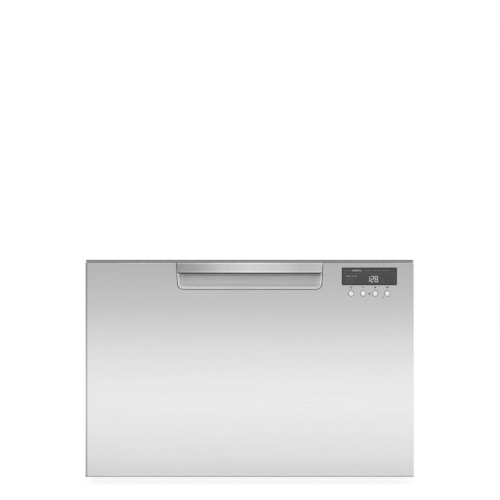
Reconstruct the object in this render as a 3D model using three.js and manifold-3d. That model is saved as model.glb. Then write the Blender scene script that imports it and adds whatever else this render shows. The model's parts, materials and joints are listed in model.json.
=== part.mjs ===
// Single dishwasher drawer: a steel-fronted tub that rolls out of a sheet-metal chassis, under a
// lid that two cam slides lower onto the tub's rim. Millimetres, +X right, -Y to the front, +Z up,
// origin on the floor under the middle of the appliance.
import * as THREE from 'three';
import { mergeVertices } from 'three/addons/utils/BufferGeometryUtils.js';
import Module from 'manifold-3d';

const wasm = await Module();
wasm.setup();

// ---------------------------------------------------------------- driving dimensions
const WIDTH = 599;
const DEPTH = 573;
const HEIGHT = 410;

const SHEET = 1; // folded steel sheet
const SEAT = 0.3; // gap between faces that rest on each other
const RUN = 0.4; // gap between a sliding or turning piece and its guide
const OVERCUT = 1; // how far a cutting shape runs past the face it cuts

// front panel
const BAR_BOW = 1.5; // crown of the handle bar in front of the panel
const PANEL_BOTTOM = 14;
const CAP_HEIGHT = 5;
const SKIN_DEPTH = 30;
const SKIN_EDGE = 2; // outer radius of the folded edges
const CAP_INSET = 1;
const CAP_EDGE = 1.6;
const MOULDING = 2.5; // wall of moulded plastic pieces

// finger pocket and handle bar
const NOTCH_HALF_TOP = 134;
const NOTCH_HALF_BOTTOM = 131;
const NOTCH_HEIGHT = 48.6;
const NOTCH_CORNER = 10;
const POCKET_GAP = 0.5;
const POCKET_LIP = 2.6;
const POCKET_DEPTH = 29.5;
const POCKET_SCOOP = 23; // how far the pocket's floor climbs towards the back
const POCKET_DRAW = 5; // how far its ends draw in towards the back
const BAR_HEIGHT = 18.4;
const BAR_THICKNESS = 6;
const BAR_EDGE = 1.2;
const BAR_SECTIONS = 8;

// display and buttons
const DISPLAY_FROM_EDGE = 81.2; // panel edge to the middle of the window
const DISPLAY_FROM_TOP = 25.1; // panel top to the middle of the window
const DISPLAY_SIZE = [99.7, 31.4];
const DISPLAY_CORNER = 1.2;
const LENS_THICKNESS = 2.9;
const BUTTON_DROP = 31.2; // window's middle to the buttons' middle
const BUTTON_FIRST = -33.3; // window's middle to the first button's middle
const BUTTON_STEP = 22;
const BUTTON_NAMES = ['power_button', 'programme_button', 'option_button', 'start_button'];
const BUTTON_RADIUS = 4.5;
const BUTTON_HOLE = 5.35;
const BUTTON_PROUD = 0.6;
const BUTTON_CAP = 2;
const BUTTON_STEM = 3;
const BUTTON_TRAVEL = 0.8;
const MODULE_HALF = 55.5;
const MODULE_DEPTH = 15.5;
const MODULE_BELOW = 8.7; // buttons' middle to the module's lower edge

// chassis
const SIDE_STEP = 1.5; // panel edge to the outer face of a side panel
const CHASSIS_LOWER = 7; // top cap to the top of the chassis
const MOUTH_GAP = 4; // back of the panel to the front of the chassis
const STUB_REACH = 14.5; // how far the water inlet stands out behind
const PAN_BOTTOM = 9;
const PAN_FLANGE = 21;
const TOP_FLANGE = 12;
const BRACE_DEPTH = 24;
const BRACE_DROP = 3;
const TRIM_THICKNESS = 3.4;
const FOOT_RADIUS = 18;
const FOOT_PAD = 6;
const FOOT_STEM = 5;
const FOOT_TOP = 28;
const FOOT_INSET = [58, 56, 72]; // from side, front and back
const FOOT_CUT = 5; // width of the screwdriver slot in the stem

// services
const SERVICE_Z = 52;
const INLET_X = -215;
const DRAIN_X = -150;
const GLAND_X = 200;
const STUB_RADIUS = 10;
const HOSE_RADIUS = 9;
const HOSE_BORE = 6;
const HOSE_LOW = 22;
const HOSE_SWING = 58;
const HOSE_TURNS = 3.5;
const HOSE_STEPS = 46;

// telescopic runners
const RUNNER_Z = 150;
const RUNNER_SHORT = 93; // how much shorter a closed runner is than the whole depth
const RUNNER_SHEET = 1.5;
const RUNNER_HALF = 22.5;
const RUNNER_WIDTH = 12.1;
const RUNNER_LIP = 3;
const HAT_LEG = 15.3;

// tub
const TUB_WALL = 3;
const LID_ROOM = 29; // chassis top to the seal of the raised lid
const RIM_THICKNESS = 4;
const TUB_SIDE_GAP = 25; // side panel to rim
const RIM_WIDTH = 10;
const TUB_TAPER = 6;
const TUB_CORNER = 30;
const TUB_FLOOR = 78; // underside of the floor
const SUMP_DEPTH = 12;
const SUMP_RADIUS = 109;
const POST_RADIUS = 10;
const RAIL_HALF = 17.5;
const BOSS_RADIUS = 8;

// wash system
const FILTER_RADIUS = 116;
const FILTER_THICKNESS = 2;
const FILTER_SLOTS = 12;
const HUB_RADIUS = 10;
const PIN_RADIUS = 6;
const DRAIN_FILTER_X = 70;
const DRAIN_CUP = 24;
const ARM_BOTTOM = 98;
const ARM_HEIGHT = 14;
const ARM_HUB = 22;
const ARM_CLEAR = 22; // arm tip to tub wall
const ROTOR_RADIUS = 38;
const ROTOR_HEIGHT = 10;
const ROTOR_PIN = 5;
const ROTOR_BLADES = 5;
const MOTOR_RADIUS = 58;
const MOTOR_BOTTOM = 36;
const HEATER_RADII = [66, 96];
const HEATER_THICKNESS = 4;

// detergent dispenser
const DISPENSER_X = -60;
const DISPENSER_DROP = 72; // rim to the dispenser's middle
const DISPENSER_SIZE = [150, 60];
const DISPENSER_FACE = 5.5; // its face inside the tub wall
const DETERGENT_CUP = [-20, 30, 18]; // left and right walls, half height
const SLIDING_DOOR = [5, 28, 21.7]; // middle, half width, half height
const DOOR_THICKNESS = 2.7;
const RINSE_CAP_X = 53;
const RINSE_CAP_RADIUS = 13;

// racks
const RACK_WIRE = 2;
const RAIL_WIRE = 2.5;
const WIRE_SIDES = 4;
const RACK_CLEAR = 13; // rack to tub wall
const RACK_Z = 126;
const RACK_HEIGHT = 100;
const RACK_CORNER = 30;
const RACK_BEND = 20;
const CROSS_STEP = 60; // wires that run left to right
const LONG_STEP = 80; // wires that run front to back
const WELD = 0.7; // how deep crossing wires sink into each other
const TINE_HEIGHT = 64;
const TINE_STEP = 24;
const FIXED_TINES = 8;
const FOLDING_TINES = 11;
const FOLD_ROWS = [-70, 50];
const FOLD_CLIP = 10; // width of a clip block
const CUP_SHELF_WIDTH = 88;
const CUP_SHELF_HALF = 150;
const CUP_CLIP_Y = 110;
const BASKET_SIZE = [180, 52, 100];
const BASKET_WALL = 2;

// lid and its lift
const LID_LIFT = 12; // how far the lid comes down to seal
const LID_PLATE = 2.5;
const LID_WALL = 16.9;
const LID_RIB = 9;
const SEAL_HEIGHT = 6;
const SEAL_WIDTH = 8;
const SEAL_INSET = 2;
const PIN_SIZE = 2.5; // radius of the lid's pins and of the push rods
const PIN_INSET = 116.5; // overall front or back to the nearer pins
const PIN_REACH = 14;
const GUIDE_SHEET = 1.5;
const SLIDE_THICKNESS = 2;
const CAM_RATIO = 2; // slide travel for each unit of lid travel

// ---------------------------------------------------------------- places worked out from them
const HALF_WIDTH = WIDTH / 2;
const FRONT = -DEPTH / 2;
const BACK = DEPTH / 2;
const PANEL_FACE = FRONT + BAR_BOW;
const PANEL_TOP = HEIGHT - CAP_HEIGHT;
const SKIN_BACK = PANEL_FACE + SKIN_DEPTH;
const NOTCH_BOTTOM = PANEL_TOP - NOTCH_HEIGHT;
const BAR_BOTTOM = PANEL_TOP - SEAT - BAR_HEIGHT;
const DISPLAY_X = HALF_WIDTH - DISPLAY_FROM_EDGE;
const DISPLAY_Z = PANEL_TOP - DISPLAY_FROM_TOP;
const BUTTON_Z = DISPLAY_Z - BUTTON_DROP;
const LENS_FACE = PANEL_FACE + SEAT;
const MODULE_FACE = LENS_FACE + LENS_THICKNESS + SEAT;
const MODULE_BACK = MODULE_FACE + MODULE_DEPTH;
const STEM_END = PANEL_FACE - BUTTON_PROUD + 7.1;

const SIDE_OUTER = HALF_WIDTH - SIDE_STEP;
const SIDE_INNER = SIDE_OUTER - SHEET;
const FIT_X = SIDE_INNER - SEAT; // outer edge of what sits between the side panels
const CHASSIS_TOP = HEIGHT - CHASSIS_LOWER;
const CHASSIS_FRONT = SKIN_BACK + MOUTH_GAP;
const CHASSIS_BACK = BACK - STUB_REACH;
const REAR_INNER = CHASSIS_BACK - SHEET;
const FIT_BACK = REAR_INNER - SEAT;
const PAN_TOP = PAN_BOTTOM + SHEET;
const BRACE_TOP = CHASSIS_TOP - SHEET - SEAT;
const FRAME_BACK = SKIN_BACK + 8;

const TUB_DROP = LID_ROOM + LID_LIFT; // chassis top to tub rim
const RIM_TOP = CHASSIS_TOP - TUB_DROP;
const RIM_BOTTOM = RIM_TOP - RIM_THICKNESS;
const RIM_X = SIDE_INNER - TUB_SIDE_GAP;
const RIM_Y = -(FRAME_BACK + SEAT);
const WALL_X = RIM_X - RIM_WIDTH; // outer faces of the tub just under its rim
const WALL_Y = RIM_Y - RIM_WIDTH;
const FLOOR_TOP = TUB_FLOOR + TUB_WALL;
const INNER_X = WALL_X - TUB_TAPER - TUB_WALL; // inner faces at the floor
const INNER_Y = WALL_Y - TUB_TAPER - TUB_WALL;
const SUMP_BOTTOM = TUB_FLOOR - SUMP_DEPTH;
const SUMP_TOP = SUMP_BOTTOM + TUB_WALL;
const DRAIN_NOZZLE = [DRAIN_X, -INNER_Y + 22]; // hose connection under the tub
const RUNNER_LENGTH = DEPTH - RUNNER_SHORT;
const RUNNER_FRONT = FRAME_BACK + 2;
const RUNNER_BACK = RUNNER_FRONT + RUNNER_LENGTH;
const OUTER_BACK = FIT_X - 0.1; // outer runner's back face
const OUTER_OPEN = OUTER_BACK - RUNNER_WIDTH;
const MIDDLE_BACK = OUTER_BACK - RUNNER_SHEET - RUN;
const MIDDLE_OPEN = OUTER_OPEN + RUNNER_SHEET + RUN;
const MIDDLE_HALF = RUNNER_HALF - RUNNER_SHEET - RUN;
const INNER_BACK = MIDDLE_BACK - RUNNER_SHEET - RUN;
const INNER_OPEN = OUTER_OPEN - 0.6;
const INNER_HALF = MIDDLE_HALF - RUNNER_SHEET - RUN;
const RAIL_FACE = INNER_OPEN - SEAT; // tub's side rail

const FILTER_BOTTOM = FLOOR_TOP + SEAT;
const FILTER_TOP = FILTER_BOTTOM + FILTER_THICKNESS;
const HUB_TOP = ARM_BOTTOM - 2;
const PIN_TOP = ARM_BOTTOM + 10;
const ARM_REACH = Math.min(INNER_X, INNER_Y) - ARM_CLEAR;
const ROTOR_BOTTOM = SUMP_TOP + 0.5;
const DISPENSER_Z = RIM_TOP - DISPENSER_DROP;

const RACK_X = INNER_X - RACK_CLEAR;
const RACK_Y = INNER_Y - RACK_CLEAR;
const RACK_TOP = RACK_Z + RACK_HEIGHT;
const LONG_Z = RACK_Z + 2 * RACK_WIRE - WELD;
const RAIL_X = RACK_X + RACK_WIRE + RAIL_WIRE - WELD;
const RAIL_Y = RACK_Y + RACK_WIRE + RAIL_WIRE - WELD;
const CROSS_PLACES = spread(CROSS_STEP, RACK_Y - 25);
const LONG_PLACES = spread(LONG_STEP, RACK_X - 25);
const FOLD_Z = LONG_Z + 2 * RACK_WIRE + 0.7;
const FOLD_CLIP_X = ((FOLDING_TINES - 1) / 2) * TINE_STEP + RACK_WIRE + 1.5;
const SHELF_X = RACK_X - 2 * RACK_WIRE - 0.6;
const SHELF_Z = RACK_TOP - 4;
const BASKET_Y = -RACK_Y + RACK_BEND + BASKET_SIZE[1] / 2 + 1;
const BASKET_BOTTOM = LONG_Z + RACK_WIRE + SEAT;

const SEAL_BOTTOM = RIM_TOP + SEAT + LID_LIFT;
const LID_BOTTOM = SEAL_BOTTOM + SEAL_HEIGHT + SEAT;
const LID_TOP = LID_BOTTOM + LID_WALL;
const LID_Y = RIM_Y - 1.2;
const PIN_Y = DEPTH / 2 - PIN_INSET;
const PIN_Z = LID_BOTTOM + 9.4;
const GUIDE_X = RIM_X + 4;
const GUIDE_BOTTOM = SEAL_BOTTOM - 5.6;
const GUIDE_TOP = BRACE_TOP;
const SLIDE_X = GUIDE_X + 3.5;
const SLIDE_BOTTOM = GUIDE_BOTTOM + 1.2 + SEAT;
const SLIDE_TOP = GUIDE_TOP - 1.2 - SEAT;
const SLIDE_TRAVEL = LID_LIFT * CAM_RATIO;
const ROD_Z = PIN_Z - LID_LIFT;
const ACTUATOR_FRONT = FIT_BACK - 32.7;

// ---------------------------------------------------------------- shapes and joins
/** Evenly stepped places on both sides of 0, no further out than the limit. */
function spread(step, limit) {
  const side = Math.floor(limit / step);
  return Array.from({ length: 2 * side + 1 }, (_, i) => (i - side) * step);
}

/** A closed geometry as a solid, whichever way its faces were wound. */
function solidOf(geometry) {
  const bare = geometry.clone();
  bare.deleteAttribute('normal');
  bare.deleteAttribute('uv');
  const merged = mergeVertices(bare, 1e-5);
  const places = merged.attributes.position.array;
  const corner = (i) => new THREE.Vector3().fromArray(places, 3 * i);
  const faces = [];
  let volume = 0;
  for (let i = 0; i < merged.index.count; i += 3) {
    const [a, b, c] = [0, 1, 2].map((k) => merged.index.getX(i + k));
    if (a !== b && b !== c && a !== c) {
      faces.push([a, b, c]);
      volume += corner(a).dot(corner(b).cross(corner(c)));
    }
  }
  const outward = volume > 0 ? faces : faces.map(([a, b, c]) => [a, c, b]);
  const mesh = new wasm.Mesh({
    numProp: 3,
    vertProperties: Float32Array.from(places),
    triVerts: Uint32Array.from(outward.flat()),
  });
  return new wasm.Manifold(mesh);
}

function geometryOf(solid) {
  const mesh = solid.getMesh();
  const geometry = new THREE.BufferGeometry();
  geometry.setAttribute('position', new THREE.Float32BufferAttribute(mesh.vertProperties, 3));
  geometry.setIndex(new THREE.Uint32BufferAttribute(mesh.triVerts, 1));
  geometry.computeVertexNormals();
  return geometry;
}

const fuse = (...solids) => solids.flat().reduce((all, one) => all.add(one));
const cut = (body, ...tools) => tools.flat().reduce((all, one) => all.subtract(one), body);

function box(x0, x1, y0, y1, z0, z1) {
  const geometry = new THREE.BoxGeometry(x1 - x0, y1 - y0, z1 - z0);
  return solidOf(geometry.translate((x0 + x1) / 2, (y0 + y1) / 2, (z0 + z1) / 2));
}

/** A round bar between two points. */
function rod(from, to, radius, sides = 14) {
  const start = new THREE.Vector3(...from);
  const along = new THREE.Vector3(...to).sub(start);
  const geometry = new THREE.CylinderGeometry(radius, radius, along.length(), sides);
  geometry.translate(0, along.length() / 2, 0);
  const turn = new THREE.Quaternion().setFromUnitVectors(
    new THREE.Vector3(0, 1, 0),
    along.clone().normalize(),
  );
  geometry.applyQuaternion(turn).translate(start.x, start.y, start.z);
  return solidOf(geometry);
}

/** Profile points [radius, height] turned about the Z axis. */
function revolve(profile, sides = 24) {
  const points = profile.map(([r, h]) => new THREE.Vector2(r, h));
  return solidOf(new THREE.LatheGeometry(points, sides).rotateX(Math.PI / 2));
}

const [X, Y, Z] = [new THREE.Vector3(1, 0, 0), new THREE.Vector3(0, 1, 0), new THREE.Vector3(0, 0, 1)];
const PLANES = {
  xy: new THREE.Matrix4(),
  xz: new THREE.Matrix4().makeBasis(X, Z, Y.clone().negate()),
  yz: new THREE.Matrix4().makeBasis(Y, Z, X),
};

/** An outline drawn in a plane, extruded along the axis square to it. */
function prism(plane, outline, from, to) {
  const shape = new THREE.Shape(outline.map(([u, v]) => new THREE.Vector2(u, v)));
  const settings = { depth: to - from, bevelEnabled: false };
  const geometry = new THREE.ExtrudeGeometry(shape, settings).applyMatrix4(PLANES[plane]);
  const shift = { xy: [0, 0, from], xz: [0, to, 0], yz: [from, 0, 0] }[plane];
  return solidOf(geometry.translate(...shift));
}

function arc(u, v, radius, start, end, steps) {
  return Array.from({ length: steps + 1 }, (_, i) => {
    const angle = THREE.MathUtils.degToRad(start + ((end - start) * i) / steps);
    return [u + radius * Math.cos(angle), v + radius * Math.sin(angle)];
  });
}

function roundedRect(u0, u1, v0, v1, radius, steps = 3) {
  return [
    ...arc(u1 - radius, v0 + radius, radius, -90, 0, steps),
    ...arc(u1 - radius, v1 - radius, radius, 0, 90, steps),
    ...arc(u0 + radius, v1 - radius, radius, 90, 180, steps),
    ...arc(u0 + radius, v0 + radius, radius, 180, 270, steps),
  ];
}

/** A slot with round ends between two points of a plane. */
function slotOutline([u0, v0], [u1, v1], radius, steps = 4) {
  const angle = THREE.MathUtils.radToDeg(Math.atan2(v1 - v0, u1 - u0));
  return [
    ...arc(u1, v1, radius, angle - 90, angle + 90, steps),
    ...arc(u0, v0, radius, angle + 90, angle + 270, steps),
  ];
}

/** Rings of points, all with the same count, joined in turn and closed at both ends. */
function loft(rings) {
  const count = rings[0].length;
  const middle = (ring) => ring.reduce((sum, p) => sum.map((s, i) => s + p[i] / count), [0, 0, 0]);
  const places = [...rings.flat(), middle(rings[0]), middle(rings.at(-1))];
  const first = rings.length * count;
  const faces = [];
  for (let k = 0; k < count; k += 1) {
    const next = (k + 1) % count;
    for (let r = 0; r < rings.length - 1; r += 1) {
      const [a, b] = [r * count + k, r * count + next];
      faces.push(a, b, b + count, a, b + count, a + count);
    }
    const last = (rings.length - 1) * count;
    faces.push(first, next, k, first + 1, last + k, last + next);
  }
  const geometry = new THREE.BufferGeometry();
  geometry.setAttribute('position', new THREE.Float32BufferAttribute(places.flat(), 3));
  geometry.setIndex(faces);
  return solidOf(geometry);
}

/** A level ring with round corners, for lofts. */
function levelRing(halfX, halfY, corner, z, steps = 4) {
  return roundedRect(-halfX, halfX, -halfY, halfY, corner, steps).map(([x, y]) => [x, y, z]);
}

/** The corners of a path replaced by arcs. */
function bend(points, radius, steps, closed = false) {
  const places = points.map((p) => new THREE.Vector3(...p));
  const path = [];
  places.forEach((corner, i) => {
    const before = places[(i - 1 + places.length) % places.length];
    const after = places[(i + 1) % places.length];
    const isEnd = !closed && (i === 0 || i === places.length - 1);
    if (isEnd) {
      path.push(corner);
      return;
    }
    const arriving = corner.clone().sub(before).normalize();
    const leaving = after.clone().sub(corner).normalize();
    const turn = arriving.angleTo(leaving);
    const inward = leaving.clone().addScaledVector(arriving, -arriving.dot(leaving)).normalize();
    const centre = corner.clone().addScaledVector(arriving, -radius * Math.tan(turn / 2));
    centre.addScaledVector(inward, radius);
    for (let k = 0; k <= steps; k += 1) {
      const angle = (turn * k) / steps;
      const point = centre.clone().addScaledVector(inward, -radius * Math.cos(angle));
      path.push(point.addScaledVector(arriving, radius * Math.sin(angle)));
    }
  });
  return path;
}

/** A round wire along a path, mitred where the path turns. */
function wire(path, radius, closed = false, sides = WIRE_SIDES) {
  const count = path.length;
  const direction = (i) => path[(i + 1) % count].clone().sub(path[i % count]).normalize();
  const start = closed ? direction(count - 1) : direction(0);
  const side = Math.abs(start.z) > 0.9 ? X.clone() : new THREE.Vector3().crossVectors(Z, start);
  side.normalize();
  const up = new THREE.Vector3().crossVectors(start, side);
  let offsets = Array.from({ length: sides }, (_, k) => {
    const angle = (2 * Math.PI * k) / sides;
    const across = side.clone().multiplyScalar(radius * Math.cos(angle));
    return across.addScaledVector(up, radius * Math.sin(angle));
  });
  const rings = path.map((point, i) => {
    const isFirst = !closed && i === 0;
    const isLast = !closed && i === count - 1;
    const arriving = isFirst ? direction(0) : direction((i - 1 + count) % count);
    const leaving = isLast ? arriving : direction(i);
    const mitre = arriving.clone().add(leaving).normalize();
    const ring = offsets.map((offset) => {
      const slide = -offset.dot(mitre) / arriving.dot(mitre);
      return offset.clone().addScaledVector(arriving, slide);
    });
    offsets = ring.map((offset) => offset.clone().addScaledVector(leaving, -offset.dot(leaving)));
    return ring.map((offset) => offset.add(point).toArray());
  });
  return closed ? closedTube(rings) : loft(rings);
}

function closedTube(rings) {
  const count = rings[0].length;
  const faces = [];
  rings.forEach((_, r) => {
    for (let k = 0; k < count; k += 1) {
      const next = (k + 1) % count;
      const following = ((r + 1) % rings.length) * count;
      faces.push(r * count + k, r * count + next, following + next);
      faces.push(r * count + k, following + next, following + k);
    }
  });
  const geometry = new THREE.BufferGeometry();
  geometry.setAttribute('position', new THREE.Float32BufferAttribute(rings.flat(2), 3));
  geometry.setIndex(faces);
  return solidOf(geometry);
}

const look = (color, roughness, metalness) =>
  new THREE.MeshStandardMaterial({ color, roughness, metalness });
const BRUSHED = look(0xd9dadb, 0.35, 0.9);
const BAR_STEEL = look(0xc9cacc, 0.3, 0.9);
const GALVANISED = look(0xb4b8ba, 0.5, 0.8);
const STAINLESS = look(0xc4c6c8, 0.3, 0.9);
const DARK_PLASTIC = look(0x55575a, 0.5, 0);
const BLACK_PLASTIC = look(0x2a2b2d, 0.5, 0);
const GREY_PLASTIC = look(0xb3b4b5, 0.5, 0);
const TUB_PLASTIC = look(0xc9ccce, 0.5, 0);
const WHITE_PLASTIC = look(0xe6e6e4, 0.45, 0);
const RUBBER = look(0x3a3b3c, 0.8, 0);
const GLASS = look(0x46484a, 0.1, 0);
const BUTTON_STEEL = look(0xe2e3e4, 0.3, 0.8);
const COATED_WIRE = look(0xa9adb1, 0.5, 0);

const chassis = new THREE.Group();
const drawer = new THREE.Group();
const lidGroup = new THREE.Group();

/** A named piece of a group, built about its own origin and then placed. */
function piece(group, name, solid, material, position = [0, 0, 0]) {
  const mesh = new THREE.Mesh(geometryOf(solid), material);
  mesh.name = name;
  mesh.position.set(...position);
  group.add(mesh);
  return mesh;
}

/** The same piece on the right and, mirrored, on the left. */
function pair(group, name, solid, material, position = [0, 0, 0]) {
  const [x, y, z] = position;
  const right = piece(group, `right_${name}`, solid, material, [x, y, z]);
  const left = new THREE.Mesh(right.geometry, material);
  left.name = `left_${name}`;
  left.position.set(-x, y, z);
  left.scale.x = -1;
  group.add(left);
}

// ---------------------------------------------------------------- front panel
/** The finger pocket's outline in the panel's plane, moved inwards by an inset. */
function notchOutline(inset, top, corner = NOTCH_CORNER - inset, bottom = NOTCH_BOTTOM + inset) {
  const taper = (NOTCH_HALF_TOP - NOTCH_HALF_BOTTOM) / NOTCH_HEIGHT;
  const halfAt = (z) => NOTCH_HALF_BOTTOM - inset + taper * (z - NOTCH_BOTTOM);
  const corners = [
    [-halfAt(top), top, 0],
    [-halfAt(bottom), bottom, 0],
    [halfAt(bottom), bottom, 0],
    [halfAt(top), top, 0],
  ];
  return bend(corners, corner, 4).map((p) => [p.x, p.y]);
}

function displayOutline(margin) {
  const [halfX, halfZ] = DISPLAY_SIZE.map((size) => size / 2 + margin);
  const [x, z] = [DISPLAY_X, DISPLAY_Z];
  return roundedRect(x - halfX, x + halfX, z - halfZ, z + halfZ, DISPLAY_CORNER + margin, 2);
}

const buttonPlaces = BUTTON_NAMES.map((_, i) => DISPLAY_X + BUTTON_FIRST + i * BUTTON_STEP);

function frontSkin() {
  const plan = (margin, back) =>
    [
      ...arc(-HALF_WIDTH + SKIN_EDGE, PANEL_FACE + SKIN_EDGE, SKIN_EDGE - margin, 180, 270, 2),
      ...arc(HALF_WIDTH - SKIN_EDGE, PANEL_FACE + SKIN_EDGE, SKIN_EDGE - margin, 270, 360, 2),
      [HALF_WIDTH - margin, back],
      [-HALF_WIDTH + margin, back],
    ];
  const outer = prism('xy', plan(0, SKIN_BACK), PANEL_BOTTOM, PANEL_TOP);
  const inner = prism('xy', plan(SHEET, SKIN_BACK + OVERCUT), PANEL_BOTTOM + SHEET, PANEL_TOP - SHEET);
  const notch = prism(
    'xz',
    notchOutline(0, PANEL_TOP + OVERCUT),
    PANEL_FACE - OVERCUT,
    SKIN_BACK + OVERCUT,
  );
  const window = prism('xz', displayOutline(RUN), PANEL_FACE - OVERCUT, LENS_FACE + OVERCUT);
  const holes = buttonPlaces.map((x) => {
    const [front, back] = [PANEL_FACE - OVERCUT, LENS_FACE + OVERCUT];
    return rod([x, front, BUTTON_Z], [x, back, BUTTON_Z], BUTTON_HOLE);
  });
  return cut(outer, inner, notch, window, holes);
}

function topCap() {
  const half = HALF_WIDTH - CAP_INSET;
  const [front, back] = [LENS_FACE, SKIN_BACK + SEAT];
  const [bottom, top] = [PANEL_TOP + SEAT, HEIGHT];
  const section = prism('yz', roundedRect(front, back, bottom, top, CAP_EDGE, 2), -half, half);
  const ends = prism('xz', roundedRect(-half, half, bottom, top, CAP_EDGE, 2), front, back);
  return section.intersect(ends);
}

/** Pocket: a scooped recess whose floor climbs and whose ends draw in towards the back. */
function handlePocket() {
  const top = PANEL_TOP - SEAT;
  const back = PANEL_FACE + POCKET_DEPTH;
  const shell = prism('xz', notchOutline(POCKET_GAP, top), LENS_FACE, back);
  const depth = back - MOULDING - PANEL_FACE;
  const rings = [-0.04, 0, 0.2, 0.4, 0.6, 0.8, 1].map((share) => {
    const turn = (share * Math.PI) / 2;
    const rise = 1 - Math.cos(Math.max(turn, 0));
    const inset = POCKET_LIP + POCKET_DRAW * rise;
    const bottom = NOTCH_BOTTOM + POCKET_LIP + POCKET_SCOOP * rise;
    const outline = notchOutline(inset, top - 1.5, NOTCH_CORNER - POCKET_LIP, bottom);
    return outline.map(([x, z]) => [x, PANEL_FACE + depth * Math.sin(turn), z]);
  });
  const rebate = [PANEL_FACE - OVERCUT, PANEL_FACE + BAR_THICKNESS + SEAT];
  const half = NOTCH_HALF_TOP + OVERCUT;
  const seat = box(-half, half, ...rebate, BAR_BOTTOM - SEAT, PANEL_TOP + OVERCUT);
  return cut(shell, loft(rings), seat);
}

function handleBar() {
  const half = NOTCH_HALF_TOP;
  const rings = Array.from({ length: BAR_SECTIONS + 1 }, (_, i) => {
    const x = -half + (2 * half * i) / BAR_SECTIONS;
    const face = PANEL_FACE - BAR_BOW * (1 - (x / half) ** 2);
    const [bottom, top] = [BAR_BOTTOM, BAR_BOTTOM + BAR_HEIGHT];
    const section = roundedRect(face, face + BAR_THICKNESS, bottom, top, BAR_EDGE, 2);
    return section.map(([y, z]) => [x, y, z]);
  });
  const ends = prism(
    'xz',
    notchOutline(POCKET_GAP + 0.1, PANEL_TOP),
    FRONT - OVERCUT,
    PANEL_FACE + BAR_THICKNESS + OVERCUT,
  );
  return loft(rings).intersect(ends);
}

/** Moulded frame inside the skin: a hollow box with a smaller one behind it that enters the chassis. */
function innerFrame() {
  const side = HALF_WIDTH - SHEET - RUN;
  const [bottom, top] = [PANEL_BOTTOM + SHEET + RUN, PANEL_TOP - SHEET - RUN];
  const front = PANEL_FACE + SHEET + SEAT;
  const rearSide = RAIL_FACE + RUN;
  const [rearBottom, rearTop] = [PANEL_BOTTOM + 10, CHASSIS_TOP - 11];
  const body = fuse(
    box(-side, side, front, SKIN_BACK, bottom, top),
    box(-rearSide, rearSide, SKIN_BACK - OVERCUT, FRAME_BACK, rearBottom, rearTop),
  );
  const w = MOULDING;
  const hollow = fuse(
    box(-side + w, side - w, front + w, SKIN_BACK - w, bottom + w, top - w),
    box(-rearSide + w, rearSide - w, front + w, FRAME_BACK - w, rearBottom + w, rearTop - w),
  );
  const ribs = [-0.6, -0.2, 0.2, 0.6].map((share) => {
    const x = share * side;
    return box(x - w / 2, x + w / 2, front, FRAME_BACK, bottom, NOTCH_BOTTOM - 22);
  });
  const shelf = box(-side, side, front, SKIN_BACK, NOTCH_BOTTOM - 24, NOTCH_BOTTOM - 22);
  const behindPocket = PANEL_FACE + POCKET_DEPTH + SEAT;
  const pocket = prism('xz', notchOutline(0, HEIGHT), front - OVERCUT, behindPocket);
  const [moduleX, moduleZ] = [MODULE_HALF + RUN, BUTTON_Z - MODULE_BELOW - RUN];
  const module = box(
    DISPLAY_X - moduleX,
    DISPLAY_X + moduleX,
    front - OVERCUT,
    MODULE_BACK + SEAT,
    moduleZ,
    PANEL_TOP - 5 + RUN,
  );
  const posts = [-40, 40].flatMap((dx) =>
    [MODULE_BELOW + 4, 46].map((dz) => {
      const [x, z] = [DISPLAY_X + dx, BUTTON_Z - MODULE_BELOW + dz];
      return rod([x, MODULE_BACK + SEAT, z], [x, FRAME_BACK - 1, z], 4, 8);
    }),
  );
  const hollowWithRibs = cut(hollow, ribs, shelf, posts);
  return cut(body, hollowWithRibs, pocket, module);
}

function controlModule() {
  const [left, right] = [DISPLAY_X - MODULE_HALF, DISPLAY_X + MODULE_HALF];
  const [bottom, top] = [BUTTON_Z - MODULE_BELOW, PANEL_TOP - 5];
  const outline = roundedRect(left, right, bottom, top, 3, 2);
  const body = prism('xz', outline, MODULE_FACE, MODULE_BACK);
  const bores = buttonPlaces.map((x) => {
    const end = STEM_END + BUTTON_TRAVEL + RUN;
    return rod([x, MODULE_FACE - OVERCUT, BUTTON_Z], [x, end, BUTTON_Z], BUTTON_STEM + SEAT, 10);
  });
  return cut(body, bores);
}

/** Round key cap on a stem; its origin is the middle of its face. */
function pushButton() {
  const stem = STEM_END - (PANEL_FACE - BUTTON_PROUD);
  return fuse(
    rod([0, 0, 0], [0, BUTTON_CAP, 0], BUTTON_RADIUS, 16),
    rod([0, BUTTON_CAP - 0.5, 0], [0, stem, 0], BUTTON_STEM, 10),
  );
}

piece(drawer, 'front_skin', frontSkin(), BRUSHED);
piece(drawer, 'front_top_cap', topCap(), DARK_PLASTIC);
piece(drawer, 'front_inner_frame', innerFrame(), GREY_PLASTIC);
piece(drawer, 'handle_pocket', handlePocket(), GREY_PLASTIC);
piece(drawer, 'handle_bar', handleBar(), BAR_STEEL);
const lens = prism('xz', displayOutline(0), LENS_FACE, LENS_FACE + LENS_THICKNESS);
piece(drawer, 'display_lens', lens, GLASS);
piece(drawer, 'control_module', controlModule(), BLACK_PLASTIC);
BUTTON_NAMES.forEach((name, i) => {
  const place = [buttonPlaces[i], PANEL_FACE - BUTTON_PROUD, BUTTON_Z];
  piece(drawer, name, pushButton(), BUTTON_STEEL, place);
});

// ---------------------------------------------------------------- tub
/** Half size of the tub's outer face at a height, from the full size under the rim. */
function wallAt(full, z) {
  const share = (z - FLOOR_TOP) / (RIM_BOTTOM - FLOOR_TOP);
  return full - TUB_TAPER * (1 - share);
}

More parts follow.
